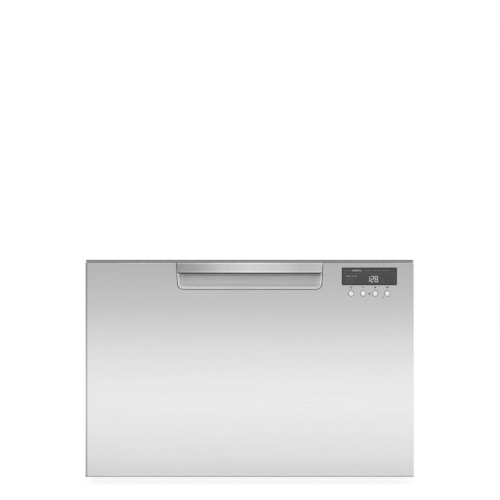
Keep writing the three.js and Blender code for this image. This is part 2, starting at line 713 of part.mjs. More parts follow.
function tubShell() {
  const low = TUB_FLOOR + 14;
  const rim = [RIM_X, RIM_Y, TUB_CORNER + RIM_WIDTH];
  const rings = [
    levelRing(WALL_X - 16, WALL_Y - 16, TUB_CORNER - 10, TUB_FLOOR),
    levelRing(WALL_X - 8.5, WALL_Y - 8.5, TUB_CORNER - 4, TUB_FLOOR + 5),
    levelRing(wallAt(WALL_X, low), wallAt(WALL_Y, low), TUB_CORNER, low),
    levelRing(WALL_X, WALL_Y, TUB_CORNER, RIM_BOTTOM),
    levelRing(...rim, RIM_BOTTOM),
    levelRing(...rim, RIM_TOP),
  ];
  const w = TUB_WALL;
  const innerRings = [
    levelRing(WALL_X - 16 - w, WALL_Y - 16 - w, TUB_CORNER - 12, FLOOR_TOP),
    levelRing(WALL_X - 8.5 - w, WALL_Y - 8.5 - w, TUB_CORNER - 7, FLOOR_TOP + 5),
    levelRing(wallAt(WALL_X, low) - w, wallAt(WALL_Y, low) - w, TUB_CORNER - w, low + w),
    levelRing(WALL_X - w, WALL_Y - w, TUB_CORNER - w, RIM_TOP + OVERCUT),
  ];
  return [loft(rings), loft(innerRings)];
}

/** Box-section rail on the tub's side that the inner runner is fixed to. */
function sideRail() {
  const wall = wallAt(WALL_X, RUNNER_Z) - 1.5;
  const [front, back] = [-INNER_Y + 6, INNER_Y - 6];
  const [low, high] = [RUNNER_Z - RAIL_HALF, RUNNER_Z + RAIL_HALF];
  const rail = box(wall, RAIL_FACE, front, back, low, high);
  const w = TUB_WALL;
  const cells = [-1, 0, 1].map((side) => {
    const length = (back - front) / 3;
    const start = side * length - length / 2;
    return box(wall - OVERCUT, RAIL_FACE - w, start + w / 2, start + length - w / 2, low + w, high - w);
  });
  const windows = cells.map((_, i) => {
    const y = ((i - 1) * (back - front)) / 3;
    const outline = slotOutline([y - 40, RUNNER_Z], [y + 40, RUNNER_Z], 7, 2);
    return prism('yz', outline, RAIL_FACE - 2 * w, RAIL_FACE + OVERCUT);
  });
  return cut(rail, cells, windows);
}

function tub() {
  const [outer, inner] = tubShell();
  const sump = revolve([
    [0, SUMP_BOTTOM],
    [SUMP_RADIUS - 9, SUMP_BOTTOM],
    [SUMP_RADIUS, TUB_FLOOR + 1],
    [0, TUB_FLOOR + 1],
  ]);
  const sumpHollow = revolve([
    [0, SUMP_TOP],
    [SUMP_RADIUS - 9 - TUB_WALL, SUMP_TOP],
    [SUMP_RADIUS - TUB_WALL, FLOOR_TOP],
    [SUMP_RADIUS - TUB_WALL, FLOOR_TOP + OVERCUT],
    [0, FLOOR_TOP + OVERCUT],
  ]);
  const post = CROSS_PLACES.at(-1);
  const posts = [-1, 1].flatMap((sx) =>
    [-1, 1].map((sy) => {
      const place = [sx * (INNER_X - 38), sy * post];
      return rod([...place, FLOOR_TOP - 1], [...place, RACK_Z - RACK_WIRE - SEAT], POST_RADIUS, 10);
    }),
  );
  const bosses = [-1, 1].flatMap((sx) =>
    [TUB_FLOOR + 42, RIM_TOP - 42].map((z) => {
      const wall = -wallAt(WALL_Y, z) + 1.5;
      const x = sx * (WALL_X - 62);
      return rod([x, -RIM_Y, z], [x, wall, z], BOSS_RADIUS, 8);
    }),
  );
  const rail = sideRail();
  const nozzle = rod([...DRAIN_NOZZLE, SUMP_BOTTOM + SEAT], [...DRAIN_NOZZLE, TUB_FLOOR + 1], HOSE_RADIUS);
  const nozzleBore = rod(
    [...DRAIN_NOZZLE, SUMP_BOTTOM - OVERCUT],
    [...DRAIN_NOZZLE, TUB_FLOOR],
    HOSE_BORE,
    10,
  );
  const [halfX, halfZ] = DISPENSER_SIZE.map((size) => size / 2 + RUN);
  const dispenserHole = box(
    DISPENSER_X - halfX,
    DISPENSER_X + halfX,
    -WALL_Y - OVERCUT,
    -INNER_Y,
    DISPENSER_Z - halfZ,
    DISPENSER_Z + halfZ,
  );
  const shell = cut(fuse(outer, sump), inner, sumpHollow, dispenserHole);
  const boss = rod([0, 0, SUMP_TOP - 1], [0, 0, ROTOR_BOTTOM + ROTOR_HEIGHT - 2], ROTOR_PIN, 16);
  const whole = fuse(shell, posts, bosses, rail, rail.mirror([1, 0, 0]), nozzle, boss);
  return cut(whole, nozzleBore);
}

function filterPlate() {
  const plate = revolve([
    [0, 0],
    [FILTER_RADIUS, 0],
    [FILTER_RADIUS, FILTER_THICKNESS],
    [HUB_RADIUS + 12, FILTER_THICKNESS],
    [HUB_RADIUS, FILTER_THICKNESS + 4],
    [HUB_RADIUS, HUB_TOP - FILTER_BOTTOM],
    [PIN_RADIUS, HUB_TOP - FILTER_BOTTOM],
    [PIN_RADIUS, PIN_TOP - FILTER_BOTTOM],
    [0, PIN_TOP - FILTER_BOTTOM],
  ]);
  const hole = rod([DRAIN_FILTER_X, 0, -OVERCUT], [DRAIN_FILTER_X, 0, 12], DRAIN_CUP + RUN, 24);
  const slots = Array.from({ length: FILTER_SLOTS }, (_, i) => {
    const angle = (2 * Math.PI * i) / FILTER_SLOTS;
    const along = (r) => [r * Math.cos(angle), r * Math.sin(angle)];
    return prism('xy', slotOutline(along(FILTER_RADIUS - 15), along(FILTER_RADIUS - 9), 2.5, 1), -1, 12);
  });
  return cut(plate, hole, slots);
}

/** Lift-out filter cup with a grip bar across it. */
function drainFilter() {
  const [bottom, flange, top] = [SUMP_TOP + 1, FILTER_TOP + SEAT, FILTER_TOP + 2.5];
  const cup = revolve(
    [
      [0, bottom],
      [DRAIN_CUP, bottom],
      [DRAIN_CUP, flange],
      [DRAIN_CUP + 4, flange],
      [DRAIN_CUP + 4, top],
      [DRAIN_CUP - 3, top],
      [DRAIN_CUP - 3, bottom + 2],
      [0, bottom + 2],
    ],
    18,
  );
  const grip = box(-DRAIN_CUP + 2, DRAIN_CUP - 2, -3, 3, top - 6, HUB_TOP);
  return fuse(cup, grip);
}

/** Hollow blade with a hub that stands on the filter's pin. */
function sprayArm() {
  const [low, high] = [3, 11];
  const tip = ARM_REACH - 12;
  const outline = [
    ...arc(tip, 0, 12, -75, 75, 4),
    [ARM_HUB, 19],
    [-ARM_HUB, 19],
    ...arc(-tip, 0, 12, 105, 255, 4),
    [-ARM_HUB, -19],
    [ARM_HUB, -19],
  ];
  const blade = prism('xy', outline, low, high);
  const hub = revolve(
    [
      [0, 0],
      [ARM_HUB, 0],
      [ARM_HUB, high],
      [ARM_HUB - 8, ARM_HEIGHT],
      [0, ARM_HEIGHT],
    ],
    20,
  );
  const jets = [0.4, 0.62, 0.86].flatMap((share) =>
    [-1, 1].map((side) => {
      const [x, y] = [side * share * ARM_REACH, side * 4];
      return box(x - 5, x + 5, y - 1.5, y + 1.5, high - 2, high + OVERCUT);
    }),
  );
  const bore = rod([0, 0, -OVERCUT], [0, 0, PIN_TOP - ARM_BOTTOM + 0.6], PIN_RADIUS + RUN, 16);
  return cut(fuse(blade, hub), bore, jets);
}

/** Impeller that throws the water up to the spray arm. */
function washRotor() {
  const disc = revolve(
    [
      [0, 0],
      [ROTOR_RADIUS, 0],
      [ROTOR_RADIUS, 1.5],
      [12, 2.5],
      [10, ROTOR_HEIGHT],
      [0, ROTOR_HEIGHT],
    ],
    18,
  );
  const blades = Array.from({ length: ROTOR_BLADES }, (_, i) => {
    const turn = (360 * i) / ROTOR_BLADES;
    const outside = arc(20, 0, 16.5, 20, 160, 3);
    const inside = arc(20, 0, 14.5, 160, 20, 3);
    return prism('xy', [...outside, ...inside], 1, ROTOR_HEIGHT - 1.5).rotate([0, 0, turn]);
  });
  const bore = rod([0, 0, -OVERCUT], [0, 0, ROTOR_HEIGHT + OVERCUT], ROTOR_PIN + RUN, 16);
  return cut(fuse(disc, blades), bore);
}

function washMotor() {
  const top = SUMP_BOTTOM - SEAT;
  const r = MOTOR_RADIUS;
  const profile = [
    [0, MOTOR_BOTTOM],
    [r - 18, MOTOR_BOTTOM],
    [r - 16, MOTOR_BOTTOM + 5],
    [r, MOTOR_BOTTOM + 7],
    [r, top - 9],
    [r - 5, top - 8],
    [r - 5, top - 3],
    [r + 4, top - 3],
    [r + 4, top],
    [0, top],
  ];
  return revolve(profile, 20);
}

function heaterPlate() {
  const top = SUMP_BOTTOM - SEAT;
  const [inside, outside] = HEATER_RADII;
  const ring = revolve([
    [inside, top - HEATER_THICKNESS],
    [outside, top - HEATER_THICKNESS],
    [outside, top],
    [inside, top],
    [inside, top - HEATER_THICKNESS],
  ]);
  const terminals = [-7, 7].map((x) => {
    const y = (inside + outside) / 2;
    return box(x - 3, x + 3, y - 0.5, y + 0.5, top - HEATER_THICKNESS - 9, top - 1);
  });
  return fuse(ring, terminals);
}

const dispenserFace = -wallAt(WALL_Y, DISPENSER_Z) + TUB_WALL + DISPENSER_FACE;

/** Housing in the tub's front wall: a detergent cup, its door's guides and the rinse-aid filler. */
function dispenserBody() {
  const [halfX, halfZ] = DISPENSER_SIZE.map((size) => size / 2);
  const rear = -RIM_Y - dispenserFace;
  const [left, right, half] = DETERGENT_CUP;
  const block = prism('xz', roundedRect(-halfX, halfX, -halfZ, halfZ, 8), rear, 0);
  const cup = prism('xz', roundedRect(left, right, -half, half, 6), rear + 3, OVERCUT);
  const guideTop = SLIDING_DOOR[2] + SEAT;
  const guides = [-1, 1].map((side) => {
    const outline = [
      [-1, guideTop],
      [DOOR_THICKNESS + SEAT + RUN, guideTop],
      [DOOR_THICKNESS + SEAT + RUN, guideTop - 2],
      [DOOR_THICKNESS + SEAT + RUN + 1.2, guideTop - 2],
      [DOOR_THICKNESS + SEAT + RUN + 1.2, guideTop + 2.5],
      [-1, guideTop + 2.5],
    ];
    return prism('yz', outline.map(([y, z]) => [y, side * z]), -halfX + 3, RINSE_CAP_X - 16);
  });
  const filler = rod([RINSE_CAP_X, -9, 0], [RINSE_CAP_X, OVERCUT, 0], 6 + RUN, 12);
  return cut(fuse(block, guides), cup, filler);
}

function dispenserDoor() {
  const [, halfX, halfZ] = SLIDING_DOOR;
  const plate = prism('xz', roundedRect(-halfX, halfX, -halfZ, halfZ, 2, 2), 0, DOOR_THICKNESS);
  const grip = box(halfX - 9, halfX - 6, DOOR_THICKNESS - 1, DOOR_THICKNESS + 3, -12, 12);
  return fuse(plate, grip);
}

function rinseAidCap() {
  const stem = rod([0, -7, 0], [0, 1, 0], 6, 12);
  const disc = rod([0, 0, 0], [0, 4, 0], RINSE_CAP_RADIUS, 24);
  const ridge = box(-RINSE_CAP_RADIUS + 2, RINSE_CAP_RADIUS - 2, 3, 6.5, -1.5, 1.5);
  return fuse(stem, disc, ridge);
}

/** Hat-section member on the tub's rail. */
function innerRunner() {
  const [low, high] = [HAT_LEG, HAT_LEG + RUNNER_SHEET];
  const outline = [
    [INNER_BACK, -INNER_HALF],
    [INNER_BACK, INNER_HALF],
    [INNER_BACK - RUNNER_SHEET, INNER_HALF],
    [INNER_BACK - RUNNER_SHEET, high],
    [INNER_OPEN, high],
    [INNER_OPEN, low],
    [INNER_BACK - RUNNER_SHEET, low],
    [INNER_BACK - RUNNER_SHEET, -low],
    [INNER_OPEN, -low],
    [INNER_OPEN, -high],
    [INNER_BACK - RUNNER_SHEET, -high],
    [INNER_BACK - RUNNER_SHEET, -INNER_HALF],
  ];
  return prism('xz', outline.map(([x, z]) => [x, z + RUNNER_Z]), RUNNER_FRONT, RUNNER_BACK);
}

/** C-section runner member with turned-in lips. */
function lippedRunner(back, open, half, lip) {
  const t = RUNNER_SHEET;
  const upper = [
    [back, half],
    [open, half],
    [open, half - lip],
    [open + t, half - lip],
    [open + t, half - t],
    [back - t, half - t],
  ];
  const lower = upper.map(([x, z]) => [x, -z]).reverse();
  const outline = [...upper, ...lower].map(([x, z]) => [x, z + RUNNER_Z]);
  return prism('xz', outline, RUNNER_FRONT, RUNNER_BACK);
}

piece(drawer, 'tub', tub(), TUB_PLASTIC);
piece(drawer, 'filter_plate', filterPlate(), GREY_PLASTIC, [0, 0, FILTER_BOTTOM]);
piece(drawer, 'drain_filter', drainFilter(), DARK_PLASTIC, [DRAIN_FILTER_X, 0, 0]);
piece(drawer, 'spray_arm', sprayArm(), GREY_PLASTIC, [0, 0, ARM_BOTTOM]);
piece(drawer, 'wash_rotor', washRotor(), WHITE_PLASTIC, [0, 0, ROTOR_BOTTOM]);
piece(drawer, 'wash_motor', washMotor(), BLACK_PLASTIC);
piece(drawer, 'heater_plate', heaterPlate(), STAINLESS);
const dispenserPlace = [DISPENSER_X, dispenserFace, DISPENSER_Z];
piece(drawer, 'detergent_dispenser', dispenserBody(), GREY_PLASTIC, dispenserPlace);
const doorPlace = [DISPENSER_X + SLIDING_DOOR[0], dispenserFace + SEAT, DISPENSER_Z];
piece(drawer, 'dispenser_door', dispenserDoor(), WHITE_PLASTIC, doorPlace);
const capPlace = [DISPENSER_X + RINSE_CAP_X, dispenserFace + SEAT, DISPENSER_Z];
piece(drawer, 'rinse_aid_cap', rinseAidCap(), DARK_PLASTIC, capPlace);
pair(drawer, 'inner_runner', innerRunner(), GALVANISED);
const middleRunner = lippedRunner(MIDDLE_BACK, MIDDLE_OPEN, MIDDLE_HALF, RUNNER_LIP + RUN);
pair(drawer, 'middle_runner', middleRunner, GALVANISED);

// ---------------------------------------------------------------- racks
/** Coated wire basket: bent floor wires welded under and over each other, a rim loop and tines. */
function dishRack() {
  const crossWires = CROSS_PLACES.map((y) => {
    const route = [
      [-RACK_X, y, RACK_TOP],
      [-RACK_X, y, RACK_Z],
      [RACK_X, y, RACK_Z],
      [RACK_X, y, RACK_TOP],
    ];
    return wire(bend(route, RACK_BEND, 2), RACK_WIRE);
  });
  const longWires = LONG_PLACES.map((x) => {
    const route = [
      [x, -RACK_Y, RACK_TOP],
      [x, -RACK_Y, LONG_Z],
      [x, RACK_Y, LONG_Z],
      [x, RACK_Y, RACK_TOP],
    ];
    return wire(bend(route, RACK_BEND, 2), RACK_WIRE);
  });
  const corners = [
    [-RAIL_X, -RAIL_Y, RACK_TOP],
    [RAIL_X, -RAIL_Y, RACK_TOP],
    [RAIL_X, RAIL_Y, RACK_TOP],
    [-RAIL_X, RAIL_Y, RACK_TOP],
  ];
  const rim = wire(bend(corners, RACK_CORNER, 3, true), RAIL_WIRE, true);
  const tines = [0, 2 * CROSS_STEP].flatMap((y) =>
    Array.from({ length: FIXED_TINES }, (_, i) => {
      const x = (i - (FIXED_TINES - 1) / 2) * TINE_STEP;
      return rod([x, y, RACK_Z], [x, y, RACK_Z + TINE_HEIGHT], RACK_WIRE, WIRE_SIDES);
    }),
  );
  const rowClips = FOLD_ROWS.flatMap((y) =>
    [-1, 1].map((side) => {
      const [near, far] = [FOLD_CLIP_X, FOLD_CLIP_X + FOLD_CLIP].map((x) => side * x);
      const block = [Math.min(near, far), Math.max(near, far), y - 7, y + 13];
      const bore = [FOLD_CLIP_X - OVERCUT, FOLD_CLIP_X + FOLD_CLIP + OVERCUT].map((x) => side * x);
      return cut(
        box(...block, RACK_Z - 1, FOLD_Z + 6),
        rod([bore[0], y, FOLD_Z], [bore[1], y, FOLD_Z], RACK_WIRE + RUN, 10),
      );
    }),
  );
  const shelfClips = [-1, 1].flatMap((sx) =>
    [-1, 1].map((sy) => {
      const [inner, outer] = [SHELF_X - 5.4, RAIL_X - 1].map((x) => sx * x);
      const [near, far] = [CUP_CLIP_Y - 7, CUP_CLIP_Y + 11].map((y) => sy * y);
      const x = [Math.min(inner, outer), Math.max(inner, outer)];
      const y = [Math.min(near, far), Math.max(near, far)];
      const bore = rod(
        [sx * SHELF_X, y[0] - 1, SHELF_Z],
        [sx * SHELF_X, y[1] + 1, SHELF_Z],
        RACK_WIRE + RUN,
        10,
      );
      return cut(box(...x, ...y, SHELF_Z - 7, SHELF_Z + 7), bore);
    }),
  );
  return fuse(crossWires, longWires, rim, tines, rowClips, shelfClips);
}

/** Cup shelf on the right, drawn about its axle; it folds up against the rack's side. */
function cupShelf() {
  const half = CUP_SHELF_HALF;
  const frame = [
    [0, -half, 0],
    [-CUP_SHELF_WIDTH, -half, 0],
    [-CUP_SHELF_WIDTH, half, 0],
    [0, half, 0],
  ];
  const axle = rod([0, -half, 0], [0, half, 0], RACK_WIRE, WIRE_SIDES);
  const lift = 2 * RACK_WIRE - WELD;
  const slats = [-90, -30, 30, 90].map((y) =>
    rod([1, y, lift], [-CUP_SHELF_WIDTH - 1, y, lift], RACK_WIRE, WIRE_SIDES),
  );
  return fuse(axle, wire(bend(frame, 15, 2), RACK_WIRE), slats);
}

/** Row of tines on an axle that clips to the rack's floor. */
function tineRow() {
  const end = FOLD_CLIP_X + FOLD_CLIP + 2;
  const axle = rod([-end, 0, 0], [end, 0, 0], RACK_WIRE, WIRE_SIDES);
  const tines = Array.from({ length: FOLDING_TINES }, (_, i) => {
    const x = (i - (FOLDING_TINES - 1) / 2) * TINE_STEP;
    return rod([x, 0, 0], [x, 0, TINE_HEIGHT - 2], RACK_WIRE, WIRE_SIDES);
  });
  return fuse(axle, tines);
}

/** Moulded basket with three cells, slotted sides and a carrying web. */
function cutleryBasket() {
  const [halfX, halfY] = [BASKET_SIZE[0] / 2, BASKET_SIZE[1] / 2];
  const height = BASKET_SIZE[2];
  const w = BASKET_WALL;
  const shell = prism('xy', roundedRect(-halfX, halfX, -halfY, halfY, 6, 2), 0, height);
  const cell = (2 * halfX - 4 * w) / 3;
  const cells = [0, 1, 2].map((i) => {
    const start = -halfX + w + i * (cell + w);
    return prism('xy', roundedRect(start, start + cell, -halfY + w, halfY - w, 4, 2), w, height + 1);
  });
  const slots = [0, 1, 2].flatMap((i) =>
    [0.25, 0.5, 0.75].map((share) => {
      const x = -halfX + w + i * (cell + w) + share * cell;
      return box(x - 3, x + 3, -halfY - 1, halfY + 1, 14, height - 22);
    }),
  );
  return cut(shell, cells, slots);
}

piece(drawer, 'dish_rack', dishRack(), COATED_WIRE);
pair(drawer, 'cup_rack', cupShelf(), COATED_WIRE, [SHELF_X, 0, SHELF_Z]);
piece(drawer, 'front_tine_row', tineRow(), COATED_WIRE, [0, FOLD_ROWS[0], FOLD_Z]);
piece(drawer, 'rear_tine_row', tineRow(), COATED_WIRE, [0, FOLD_ROWS[1], FOLD_Z]);
piece(drawer, 'cutlery_basket', cutleryBasket(), GREY_PLASTIC, [0, BASKET_Y, BASKET_BOTTOM]);

// ---------------------------------------------------------------- lid and its lift
/** Shallow ribbed tray with four pins that ride in the guides and the cam slides. */
function lid() {
  const outline = (margin) => {
    const [x, y] = [RIM_X - margin, LID_Y - margin];
    return roundedRect(-x, x, -y, y, TUB_CORNER - margin, 4);
  };
  const tray = cut(
    prism('xy', outline(0), LID_BOTTOM, LID_TOP),
    prism('xy', outline(TUB_WALL), LID_BOTTOM + LID_PLATE, LID_TOP + OVERCUT),
  );
  const ribTop = LID_BOTTOM + LID_RIB;
  const [x, y] = [RIM_X - 1, LID_Y - 1];
  const along = [-0.5, 0, 0.5].map((share) => {
    return box(share * x - 1.25, share * x + 1.25, -y, y, LID_BOTTOM + 1, ribTop);
  });
  const across = [-0.5, 0.5].map((share) => {
    return box(-x, x, share * y - 1.25, share * y + 1.25, LID_BOTTOM + 1, ribTop);
  });
  const pins = [-1, 1].flatMap((sx) =>
    [-PIN_Y, PIN_Y].map((py) => {
      return rod([sx * (RIM_X - 1), py, PIN_Z], [sx * (RIM_X + PIN_REACH), py, PIN_Z], PIN_SIZE, 12);
    }),
  );
  return fuse(tray, along, across, pins);
}

function lidSeal() {
  const outline = (inset) => {
    const [x, y] = [RIM_X - inset, LID_Y - inset];
    return roundedRect(-x, x, -y, y, TUB_CORNER - inset, 4);
  };
  const top = SEAL_BOTTOM + SEAL_HEIGHT;
  const outer = prism('xy', outline(SEAL_INSET), SEAL_BOTTOM, top);
  const inner = prism('xy', outline(SEAL_INSET + SEAL_WIDTH), SEAL_BOTTOM - 1, top + 1);
  return cut(outer, inner);
}

/** Sheet guide fixed under the chassis top: upright slots keep the lid level as it drops. */
function lidGuide() {
  const t = GUIDE_SHEET;
  const [x, floor] = [GUIDE_X, 1.2];
  const lip = SLIDE_X + SLIDE_THICKNESS + 1.3;
  const section = [
    [x, GUIDE_BOTTOM],
    [lip + floor, GUIDE_BOTTOM],
    [lip + floor, GUIDE_BOTTOM + 4.3],
    [lip, GUIDE_BOTTOM + 4.3],
    [lip, GUIDE_BOTTOM + floor],
    [x + t, GUIDE_BOTTOM + floor],
    [x + t, GUIDE_TOP - floor],
    [FIT_X, GUIDE_TOP - floor],
    [FIT_X, GUIDE_TOP],
    [x, GUIDE_TOP],
  ];
  const guide = prism('xz', section, CHASSIS_FRONT + BRACE_DEPTH + 1, ACTUATOR_FRONT - 2);
  const slots = [-PIN_Y, PIN_Y].map((y) => {
    const outline = slotOutline([y, PIN_Z - LID_LIFT], [y, PIN_Z], PIN_SIZE + SEAT, 4);
    return prism('yz', outline, x - OVERCUT, x + t + OVERCUT);
  });
  return cut(guide, slots);
}

/** Plate whose slanted slots push the lid's pins down as it is drawn to the back. */
function camSlide() {
  const [front, back] = [-PIN_Y - 45, PIN_Y + 35];
  const plate = box(0, SLIDE_THICKNESS, front, back, SLIDE_BOTTOM, SLIDE_TOP);
  const slots = [-PIN_Y, PIN_Y].map((y) => {
    const low = [y - SLIDE_TRAVEL, PIN_Z - LID_LIFT];
    return prism('yz', slotOutline(low, [y, PIN_Z], PIN_SIZE + SEAT, 4), -1, SLIDE_THICKNESS + 1);
  });
  const middle = (SLIDE_BOTTOM + SLIDE_TOP) / 2;
  const windows = [-90, 0, 90].map((y) => {
    return prism('yz', slotOutline([y - 25, middle], [y + 25, middle], 7, 3), -1, SLIDE_THICKNESS + 1);
  });
  const x = SLIDE_THICKNESS / 2;
  const pushRod = rod([x, back - 6, ROD_Z], [x, ACTUATOR_FRONT + 7.5, ROD_Z], PIN_SIZE, 12);
  return fuse(cut(plate, slots, windows), pushRod);
}

/** Gearmotor in the rear corner that draws the cam slide's rod. */
function lidActuator() {
  const [inner, outer] = [GUIDE_X, FIT_X];
  const middle = (ACTUATOR_FRONT + FIT_BACK) / 2;
  const outline = roundedRect(inner, outer, ROD_Z - 12, ROD_Z + 11, 2.5, 2);
  const body = prism('xz', outline, ACTUATOR_FRONT, FIT_BACK);
  const x = (inner + outer) / 2;
  const motor = rod([x, middle, ROD_Z - 33], [x, middle, ROD_Z - 11], (outer - inner) / 2 - 0.4, 16);
  const rodX = SLIDE_X + SLIDE_THICKNESS / 2;
  const bore = rod(
    [rodX, ACTUATOR_FRONT - 1, ROD_Z],
    [rodX, FIT_BACK + 1, ROD_Z],
    PIN_SIZE + RUN,
    12,
  );
  return cut(fuse(body, motor), bore);
}

piece(lidGroup, 'lid', lid(), TUB_PLASTIC);
piece(lidGroup, 'lid_seal', lidSeal(), RUBBER);
pair(chassis, 'lid_guide', lidGuide(), GALVANISED);
pair(chassis, 'cam_slide', camSlide(), STAINLESS, [SLIDE_X, 0, 0]);
pair(chassis, 'lid_actuator', lidActuator(), BLACK_PLASTIC);

// ---------------------------------------------------------------- chassis
const footPlaces = [-1, 1].flatMap((side) => {
  const x = side * (SIDE_OUTER - FOOT_INSET[0]);
  return [
    [x, CHASSIS_FRONT + FOOT_INSET[1]],
    [x, CHASSIS_BACK - FOOT_INSET[2]],
  ];
});

/** Floor of the chassis: turned-up sides and back, a hemmed front edge and pressed beads. */
function basePan() {
  const t = SHEET;
  const flangeTop = PAN_TOP + PAN_FLANGE;
  const front = CHASSIS_FRONT;
  const floor = box(-FIT_X, FIT_X, front, FIT_BACK, PAN_BOTTOM, PAN_TOP);
  const sides = [box(FIT_X - t, FIT_X, front, FIT_BACK, PAN_BOTTOM, flangeTop)];
  sides.push(box(-FIT_X, -FIT_X + t, front, FIT_BACK, PAN_BOTTOM, flangeTop));
  const back = box(-FIT_X, FIT_X, FIT_BACK - t, FIT_BACK, PAN_BOTTOM, flangeTop);
  const hem = box(-FIT_X, FIT_X, front, front + 8, PAN_BOTTOM - 0.5, PAN_TOP);
  const bead = [
    [-14, PAN_TOP - 0.5],
    [14, PAN_TOP - 0.5],
    [10, PAN_TOP + 1.5],
    [-10, PAN_TOP + 1.5],
  ];
  const beads = [-60, 0, 60].map((x) => {
    return prism('xz', bead.map(([u, v]) => [u + x, v]), front + 40, FIT_BACK - 40);
  });
  const holes = footPlaces.map((place) => {
    return rod([...place, PAN_BOTTOM - 2], [...place, PAN_TOP + 2], FOOT_STEM + RUN, 16);
  });
  return cut(fuse(floor, sides, back, hem, beads), holes);
}

function sidePanel() {
  const plate = box(SIDE_INNER, SIDE_OUTER, CHASSIS_FRONT, CHASSIS_BACK, PAN_BOTTOM, CHASSIS_TOP);
  const flange = box(
    SIDE_INNER - TOP_FLANGE,
    SIDE_INNER + SHEET / 2,
    CHASSIS_FRONT,
    CHASSIS_BACK,
    CHASSIS_TOP - SHEET,
    CHASSIS_TOP,
  );
  const bead = [
    [-6, SIDE_INNER + 0.2],
    [6, SIDE_INNER + 0.2],
    [4, SIDE_INNER - 1],
    [-4, SIDE_INNER - 1],
  ];
  const middle = (RUNNER_Z + RUNNER_HALF + GUIDE_BOTTOM) / 2;
  const beads = [middle - 35, middle + 35].map((z) => {
    return prism('xz', bead.map(([u, x]) => [x, u + z]), CHASSIS_FRONT + 40, CHASSIS_BACK - 40);
  });
  const slots = [-170, -85, 0, 85, 170].map((y) => {
    return prism('yz', slotOutline([y - 18, 75], [y + 18, 75], 9, 3), SIDE_INNER - 1, SIDE_OUTER + 1);
  });
  return cut(fuse(plate, flange, beads), slots);
}

function rearPanel() {
  const plate = box(-FIT_X, FIT_X, REAR_INNER, CHASSIS_BACK, PAN_TOP + SEAT, BRACE_TOP);
  const through = (x, z, radius) =>
    rod([x, REAR_INNER - 1, z], [x, CHASSIS_BACK + 1, z], radius + RUN, 20);
  const holes = [
    through(INLET_X, SERVICE_Z, STUB_RADIUS),
    through(DRAIN_X, SERVICE_Z, STUB_RADIUS),
    through(GLAND_X, SERVICE_Z, 8),
  ];
  const vents = spread(90, FIT_X - 90).map((x) => {
    const outline = slotOutline([x - 32, RIM_TOP - 20], [x + 32, RIM_TOP - 20], 4, 2);
    return prism('xz', outline, REAR_INNER - 1, CHASSIS_BACK + 1);
  });
  const [half, low, high] = [FIT_X - 70, SERVICE_Z + 60, RIM_TOP - 50];
  const frame = cut(
    prism('xz', roundedRect(-half, half, low, high, 14), REAR_INNER - 1, REAR_INNER + 0.2),
    prism('xz', roundedRect(-half + 8, half - 8, low + 8, high - 8, 8), REAR_INNER - 2, REAR_INNER + 1),
  );
  return cut(fuse(plate, frame), holes, vents);
}

/** Channel across the top of the chassis, open downwards. */
function topBrace(front, back) {
  const outline = [
    [front, BRACE_TOP - BRACE_DROP],
    [front, BRACE_TOP],
    [back, BRACE_TOP],
    [back, BRACE_TOP - BRACE_DROP],
    [back - SHEET, BRACE_TOP - BRACE_DROP],
    [back - SHEET, BRACE_TOP - SHEET],
    [front + SHEET, BRACE_TOP - SHEET],
    [front + SHEET, BRACE_TOP - BRACE_DROP],
  ];
  return prism('yz', outline, -FIT_X, FIT_X);
}

/** Rubber strip between the panel and the front edge of a side panel. */
function sideTrim() {
  const inner = MIDDLE_BACK + RUN + 0.1;
  const [front, back] = [SKIN_BACK + SEAT, CHASSIS_FRONT - SEAT];
  const strip = box(inner, HALF_WIDTH, front, back, PANEL_BOTTOM, PANEL_TOP - 5);
  const tongue = box(
    inner,
    FIT_X,
    back - 1,
    RUNNER_FRONT - 1,
    PAN_TOP + PAN_FLANGE + SEAT,
    BRACE_TOP - BRACE_DROP - SEAT,
  );
  return fuse(strip, tongue);
}

/** Levelling foot: a pad on a screwed stem; its origin is the middle of its underside. */
function foot() {
  const profile = [
    [0, 0],
    [FOOT_RADIUS, 0],
    [FOOT_RADIUS, FOOT_PAD - 2],
    [FOOT_RADIUS - 3, FOOT_PAD],
    [FOOT_STEM, FOOT_PAD],
    [FOOT_STEM, FOOT_TOP],
    [0, FOOT_TOP],
  ];
  const slot = box(-FOOT_STEM - 1, FOOT_STEM + 1, -0.8, 0.8, FOOT_TOP - FOOT_CUT, FOOT_TOP + 1);
  return cut(revolve(profile, 12), slot);
}

function inletValve() {
  const [x, z] = [INLET_X, SERVICE_Z];
  const body = prism('xz', roundedRect(x - 15, x + 15, z - 15, z + 15, 4, 2), FIT_BACK - 38, FIT_BACK - 5);
  const flange = prism('xz', roundedRect(x - 20, x + 20, z - 20, z + 20, 5, 2), FIT_BACK - 6, FIT_BACK);
  const stub = rod([x, FIT_BACK - 10, z], [x, BACK, z], STUB_RADIUS, 16);
  const bore = rod([x, FIT_BACK - 4, z], [x, BACK + 1, z], STUB_RADIUS - 3.5, 10);
  const coil = rod([x, FIT_BACK - 20, z + 10], [x, FIT_BACK - 20, z + 42], 12, 16);
  return cut(fuse(body, flange, stub, coil), bore);
}

function drainOutlet() {
  const [x, z] = [DRAIN_X, SERVICE_Z];
  const front = FIT_BACK - 32.7;
  const tube = rod([x, front, z], [x, BACK, z], STUB_RADIUS, 16);
  const flange = prism('xz', roundedRect(x - 16, x + 16, z - 16, z + 16, 5, 2), FIT_BACK - 3, FIT_BACK);
  const bore = rod([x, front - 1, z], [x, BACK + 1, z], STUB_RADIUS - 3, 10);
  return cut(fuse(tube, flange), bore);
}

